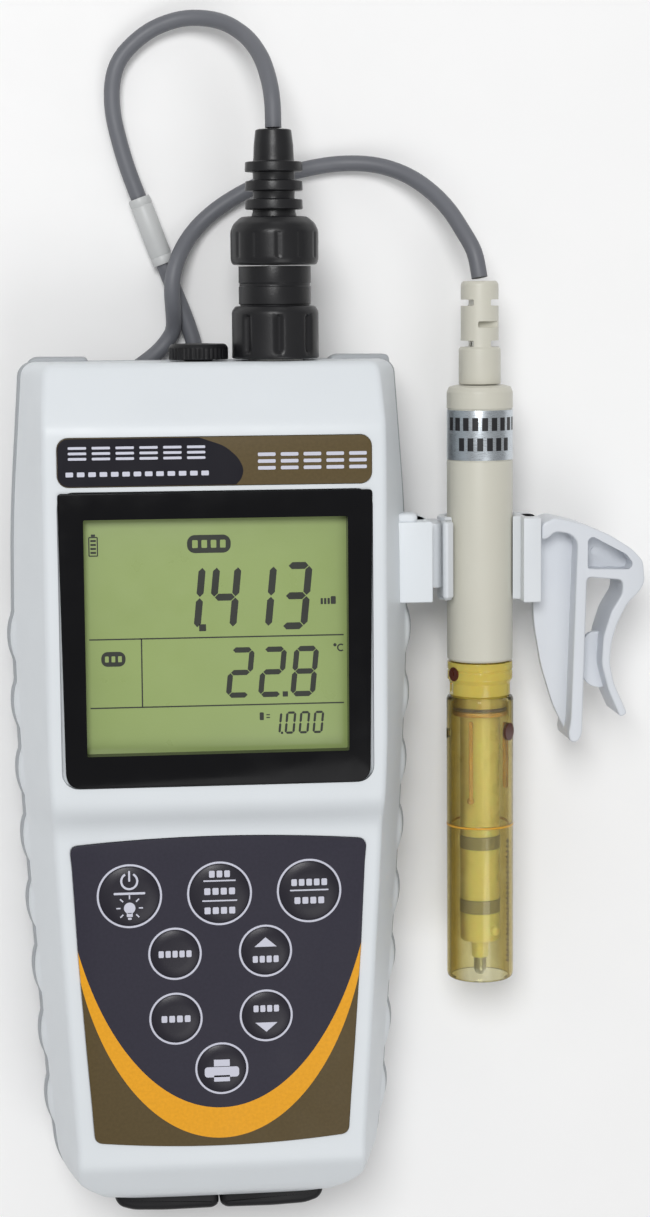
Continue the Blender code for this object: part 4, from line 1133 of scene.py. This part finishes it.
def probe_handle():
    """The strain relief with its windows, and the handle."""
    x0, z0 = PROBE_AXIS
    relief_profile = ((87.6, 2.2), (87.6, 4.7), (95.4, 4.7), (95.9, 4.25), (109.8, 4.2),
                      (110.5, 3.7), (110.5, 1.9), (107.0, 1.9), (104.0, 1.9))
    mesh = turned_mesh("probe_relief", relief_profile, PROBE_AXIS, looped=True, edge=0.25)
    height, reach = 1.4, 6.0
    windows = [(low, high, y, -reach, reach) for y in (105.0, 95.9)
               for low, high in ((-reach, -1.9), (1.9, reach))]
    windows += [(-1.0, reach, 100.2, 2.1, reach), (-reach, 1.0, 100.2, -reach, -2.1)]
    slots = [cutter(round_box(x0 + low, y, x0 + high, y + height, 0.35), z0 + under, z0 + over)
             for low, high, y, under, over in windows]
    dress(piece("probe_relief", cut_mesh(mesh, slots), "probe", "probe"), "probe", "probe_boot")
    profile = ((25.4, 5.8), (25.4, 7.0), (25.9, 7.4), (70.5, 7.4), (70.6, 7.2), (82.2, 7.2),
               (82.3, 7.4), (85.9, 7.4), (87.0, 6.9), (87.4, 5.6), (87.4, 2.3), (80.0, 2.3),
               (78.0, 5.8))
    on_probe("probe_body", profile, "probe", "probe", "probe_handle", edge=0.12)


def probe_collar():
    """The amber collar with its side notches, its stud, and the lip and ledge inside the guard."""
    x0, z0 = PROBE_AXIS
    profile = ((14.8, 4.8), (14.8, 6.2), (17.4, 6.2), (17.6, 6.9), (20.3, 6.9), (21.3, 7.4),
               (23.0, 7.4), (23.1, 7.28), (23.4, 7.28), (23.5, 7.4), (25.1, 7.4), (25.1, 5.4),
               (31.0, 5.4), (31.0, 4.8))
    mesh = turned_mesh("collar_ring", profile, PROBE_AXIS, looped=True, edge=0.12)
    notches = []
    for middle in (x0 - 7.6, x0 + 7.6):
        outline = round_box(middle - 1.3, 17.7, middle + 1.3, 20.6, 0.5)
        notches.append(cutter(outline, z0 - 2.2, z0 + 2.2))
    dress(piece("collar_ring", cut_mesh(mesh, notches), "amber", "probe"), "amber", "probe_collar")
    side_stud("collar_stud", 22.6, 152.0, 1.6, 7.5, "probe")
    lip = ((14.2, 5.0), (14.2, 6.25), (14.7, 6.25), (14.7, 5.0))
    on_probe("collar_lip", lip, "maroon", "amber")
    ledge = ((12.9, 4.7), (12.9, 6.3), (13.5, 6.4), (13.9, 6.3), (13.9, 4.7))
    on_probe("collar_ledge", ledge, "honey", "amber")


def probe_core():
    """The pale core with its two electrode bands, its side bump and its metal tip."""
    x0, z0 = PROBE_AXIS
    core, groove = 4.5, 4.0
    bands = {"electrode_band_lower": (-32.7, -29.6), "electrode_band_upper": (-17.9, -14.9)}
    profile = [(-43.4, 0.05), (-43.4, 1.7), (-43.0, 1.9), (-39.3, 2.0), (-39.3, 4.1), (-38.8, core)]
    for low, high in bands.values():
        profile += [(low, core), (low, groove), (high, groove), (high, core)]
    profile += [(34.0, core), (34.0, 0.05)]
    on_probe("probe_stem", profile, "core", "amber", "probe_core", looped=False)
    for name, (low, high) in reversed(bands.items()):
        band = ((low + 0.05, 4.1), (low + 0.05, 4.62), (high - 0.05, 4.62), (high - 0.05, 4.1))
        on_probe(f"{name}_ring", band, "graphite", "graphite", name)
    bump = ((z0 + 3.0, 1.3), (z0 + 3.9, 1.25), (z0 + 4.5, 0.8), (z0 + 4.7, 0.05))
    dress(turned("core_bump", bump, (x0 + 2.6, -36.6), "core", "probe", along="Z", sides=32,
                 edge=0.2), "amber")
    tip = ((-47.4, 0.05), (-47.4, 0.8), (-46.8, 1.25), (-46.2, 1.45), (-43.3, 1.45), (-43.3, 0.05))
    on_probe("metal_tip", tip, "steel", "steel", "sensor_tip", looped=False, sides=64, edge=0.15)


def probe_label():
    """Two rows of plain blocks on the foil label."""
    patches = []
    for y, count in ((78.9, 9), (74.4, 6)):
        for k in range(count):
            middle = 90.0 - 17.0 * (k - (count - 1) / 2)
            patches.append(label_patch(y, 2.9, math.radians(middle), math.radians(5.2)))
    marks = join_meshes("probe_band_marks", patches)
    dress(piece("probe_band_marks", marks, "label_ink", "probe"), "label")


def probe():
    probe_handle()
    label = ((70.85, 7.22), (70.85, 7.4), (81.95, 7.4), (81.95, 7.22))
    on_probe("probe_band", label, "label", "label", "probe_label", edge=0.05)
    probe_collar()
    probe_core()
    probe_label()


def guard():
    """The clear guard tube with its seam, moulded ribs, vent plug and raised dots."""
    x0, z0 = PROBE_AXIS
    vent_y, vent_radius = 8.7, 1.2
    profile = ((-46.9, 6.65), (-47.6, 6.75), (-47.9, 7.05), (-47.5, 7.45), (-46.6, 7.6),
               (16.5, 7.6), (17.2, 7.3), (17.2, 6.65))
    mesh = turned_mesh("guard_tube", profile, PROBE_AXIS, looped=True, edge=0.15)
    holes = [turned_mesh("cut", ((x0 + low, vent_radius), (x0 + high, vent_radius)), (vent_y, z0),
                         sides=40) for low, high in ((-9.0, 0.0), (0.0, 9.0))]
    across = Matrix(((0, 1, 0, 0), (1, 0, 0, 0), (0, 0, 1, 0), (0, 0, 0, 1)))
    for hole in holes:
        hole.transform(across)
        hole.flip_normals()
    dress(piece("guard_tube", cut_mesh(mesh, holes), "guard", "guard"), "guard", "probe_guard")
    seam = ((-12.5, 6.5), (-12.5, 7.68), (-12.05, 7.68), (-12.05, 6.5))
    on_probe("guard_seam", seam, "honey", "amber", body="guard")
    ribs = [prism_mesh("rib", bar(x0 + x, y, 0.9, length), z0 + z, z0 + z + 0.7, edge=0.2)
            for x, y, length, z in ((-2.9, 3.0, 18.0, 5.1), (4.9, 4.0, 15.0, 3.6))]
    ribs.append(turned_mesh("rib_end", ((z0 + 5.0, 0.8), (z0 + 6.0, 0.6), (z0 + 6.1, 0.05)),
                            (x0 - 2.9, -6.2), along="Z", sides=24))
    dress(piece("guard_ribs", join_meshes("guard_ribs", ribs), "honey", "guard"), "amber")
    side_stud("vent_plug", 9.4, 38.0, 2.0, 7.65, "guard")
    reach = 6.45
    dots = []
    for row in range(24):
        for column, turn in enumerate((16.0, 24.0, 33.0)):
            y = -16.0 - 1.2 * row - 0.4 * (column % 2)
            dot = ((y - 0.32, 0.05), (y - 0.2, 0.26), (y + 0.2, 0.26), (y + 0.32, 0.05))
            place = polar(x0, z0, reach, math.radians(turn))
            dots.append(turned_mesh("dot", dot, place, sides=10))
    dress(piece("guard_texture", join_meshes("guard_texture", dots), "maroon", "guard"), "amber")


# ---- bracket and clips --------------------------------------------------------------------

def side_bracket():
    outline = ((40.6, 9.0), (48.7, 9.0), (48.7, 18.3), (47.5, 18.3), (47.5, 15.6), (45.4, 15.6),
               (45.4, 24.4), (47.5, 24.4), (47.5, 21.7), (48.7, 21.7), (48.7, 31.0), (40.6, 31.0))
    bracket = prism("clip_mount", bent(outline, 0.35, 3, True), 39.9, 57.8, "case", axis="Y",
                    edge=0.3)
    dress(bracket, "case", "side_bracket")
    fillet = ((38.0, 24.0), (45.5, 24.0), (45.5, 29.6), (44.6, 30.4), (38.0, 30.4))
    root = prism("clip_mount_root", bent(fillet, 0.8, 4, True), 57.4, 59.6, "case", axis="Y",
                 edge=0.7)
    dress(root, "case")


def probe_clip():
    x0, z0 = PROBE_AXIS
    reach, bore, outer = 27.0, 7.75, 9.6
    low, high = 39.4, 58.2
    steps = 60
    turns = [math.radians(180.0 - reach + (180.0 + 2 * reach) * k / steps) for k in range(steps + 1)]
    arc = [polar(x0, z0, outer, t) for t in turns]
    arc += [polar(x0, z0, bore, t) for t in reversed(turns)]
    mesh = prism_mesh("spring_clip", arc, low, high, axis="Y", edge=0.5)
    rail = ((45.7, 15.9), (47.2, 15.9), (47.2, 18.6), (49.0, 18.6), (49.0, 13.5), (52.2, 13.5),
            (52.2, 26.5), (49.0, 26.5), (49.0, 21.4), (47.2, 21.4), (47.2, 24.1), (45.7, 24.1))
    channel = ((69.6, 12.0), (73.6, 12.0), (73.6, 18.7), (72.6, 18.7), (72.6, 17.0), (71.2, 17.0),
               (71.2, 23.0), (72.6, 23.0), (72.6, 21.3), (73.6, 21.3), (73.6, 28.0), (69.6, 28.0))
    parts = [prism_mesh("rail", bent(rail, 0.3, 3, True), 42.6, 57.0, axis="Y", edge=0.3),
             prism_mesh("channel", bent(channel, 0.3, 3, True), low - 0.3, 58.0, axis="Y", edge=0.3)]
    jaw = ((7.7, 22.0), (9.4, 22.0), (9.5, 27.2), (8.6, 28.0), (6.9, 26.4))
    for side in (-1.0, 1.0):
        outline = bent([(x0 + side * x, z) for x, z in jaw], 0.5, 4, True)
        parts.append(prism_mesh("jaw", outline, low + 0.8, high - 0.8, axis="Y", edge=0.6))
    clip = piece("spring_clip", cut_mesh(mesh, parts, "UNION"), "clip")
    dress(clip, "clip", "probe_clip")


def beaker_clip():
    finger_out = ((93.4, 38.2), (91.0, 33.4), (89.9, 29.4), (89.5, 25.0), (90.4, 20.4), (93.6, 13.2))
    finger_in = ((91.9, 12.4), (89.2, 18.6), (87.6, 24.6), (88.0, 31.0), (89.8, 36.6),
                 (92.3, 40.6), (92.3, 43.6))
    outline = ((73.9, 56.6), (77.0, 57.9), (83.5, 56.3), (89.4, 53.8), (94.4, 50.6), (97.0, 47.8),
               (97.4, 43.0), (96.2, 41.0), *finger_out, *finger_in,
               (84.2, 44.4), (83.8, 30.0), (83.2, 8.6), (82.2, 7.0), (80.6, 7.0), (80.0, 8.6),
               (80.6, 12.0), (82.0, 52.4), (80.4, 54.2), (77.0, 54.8), (75.2, 53.2), (73.9, 53.0))
    frame_mesh = prism_mesh("beaker_spring", bent(outline, 1.1, 5, True), 13.0, 27.0, edge=0.45)
    web_low, web_high = 19.1, 20.9
    pocket = bent(((84.3, 46.2), (94.0, 46.0), (94.7, 47.4), (93.2, 49.4), (85.4, 53.6),
                   (84.3, 52.8)), 0.8, 5, True)
    cutters = [cutter(pocket, web_high, 40.0), cutter(pocket, 0.0, web_low)]
    web = bent(((71.5, 57.0), (76.5, 57.0), (82.5, 54.5), (82.5, 10.0), (80.6, 8.4), (77.5, 15.0),
                (74.8, 24.0), (73.3, 33.0), (72.9, 39.5), (71.5, 39.5)), 2.0, 5, True)
    head = round_box(71.4, 39.5, 72.4, 57.0, 0.3)
    pad = bent(((89.0, 31.4), (86.0, 31.2), (84.5, 29.4), (84.5, 20.8), (86.2, 18.8),
                (89.4, 18.2)), 1.2, 5, True)
    parts = [prism_mesh("web", web, web_low, web_high, edge=0.25),
             prism_mesh("head", head, 17.4, 22.6, edge=0.2),
             prism_mesh("pad", pad, web_low, web_high, edge=0.25),
             turned_mesh("boss", ((20.7, 1.1), (21.1, 1.1)), (87.3, 49.6), along="Z", sides=40)]
    mesh = cut_mesh(cut_mesh(frame_mesh, cutters), parts, "UNION")
    dress(piece("beaker_spring", mesh, "beaker", "beaker_hook"), "clip", "beaker_clip")


# ---- bumpers, battery cover and screws ----------------------------------------------------

def end_bumpers():
    lobe = ((0.15, -91.0), (0.15, -97.7), (1.5, -98.6), (12.0, -98.7), (19.5, -98.4), (22.6, -97.4),
            (23.7, -95.8), (23.6, -91.0))
    for side, sign in (("right", 1.0), ("left", -1.0)):
        outline = [(sign * x, y) for x, y in bent(lobe, 1.3, 6)]
        bumper = prism(f"bumper_{side}", outline, 12.5, 26.5, "rubber", edge=1.6)
        dress(bumper, "rubber", f"end_bumper_{side}")


def battery_cover():
    plate = prism_mesh("cover_plate", round_box(-24.7, -77.7, 24.7, -12.3, 2.0), 0.3, 1.5, edge=0.3)
    sinks = [drill(0.0, y, 2.3, -1.0, 0.95, 40) for y in COVER_SCREWS]
    holes = [drill(0.0, y, 1.3, 0.5, 3.0, 40) for y in COVER_SCREWS]
    grooves = [cutter(bar(0.0, -30.0 - 3.0 * k, 26.0 - 2.2 * abs(k - 3), 1.1), 0.0, 0.7)
               for k in range(7)]
    cover = piece("cover_plate", cut_mesh(plate, sinks + holes + grooves), "rear")
    dress(cover, "case", "battery_cover")


def screw(name, x, y, base, head, depth, shank, top, node):
    """A pan-head screw seen from below, with a cross recess in its head."""
    profile = ((base, 0.05), (base, head - 0.5), (base + 0.45, head), (base + depth, head),
               (base + depth, shank), (top, shank), (top, 0.05))
    mesh = turned_mesh(name, profile, (x, y), along="Z", sides=48, edge=0.08)
    cross = [cutter(bar(x, y, *size, 0.1), base - 0.5, base + 0.55 * depth)
             for size in ((1.1 * head, 0.3 * head), (0.3 * head, 1.1 * head))]
    dress(piece(name, cut_mesh(mesh, cross), "steel"), "steel", node)


def screws():
    for i, (x, y) in enumerate(CASE_SCREWS, 1):
        screw(f"case_screw_{i}", x, y, at(BACK, y) + 0.7, 2.6, 1.8, 1.4, 31.0, f"housing_screw_{i}")
    for i, y in enumerate(COVER_SCREWS, 1):
        screw(f"battery_screw_{i}", 0.0, y, 0.1, 1.9, 0.6, 1.0, 5.6, f"cover_screw_{i}")


def inner_parts():
    """Materials for the CAD pieces inside the case, whose shapes are used as they are."""
    finishes = {"board": ("main_board", "lcd_backlight"), "connector": ("socket_insert", "port_jack"),
                "cell": ("battery_cell_1", "battery_cell_2", "battery_cell_3"),
                "steel": ("battery_contact_lower", "battery_contact_upper", "dome_sheet",
                          "panel_socket", "socket_nut"),
                "rubber": ("battery_cover_gasket",)}
    for finish, nodes in finishes.items():
        for node in nodes:
            for material_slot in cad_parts[node].material_slots:
                material_slot.material = FINISH[finish]


camera()
sheath, path = cable()
on_cable = [marker_sleeve(), coil_tie()]
studio()
front_housing()
rear_housing()
display()
name_plate()
keypad()
on_cable += connectors()
probe()
guard()
side_bracket()
probe_clip()
beaker_clip()
end_bumpers()
battery_cover()
screws()
inner_parts()
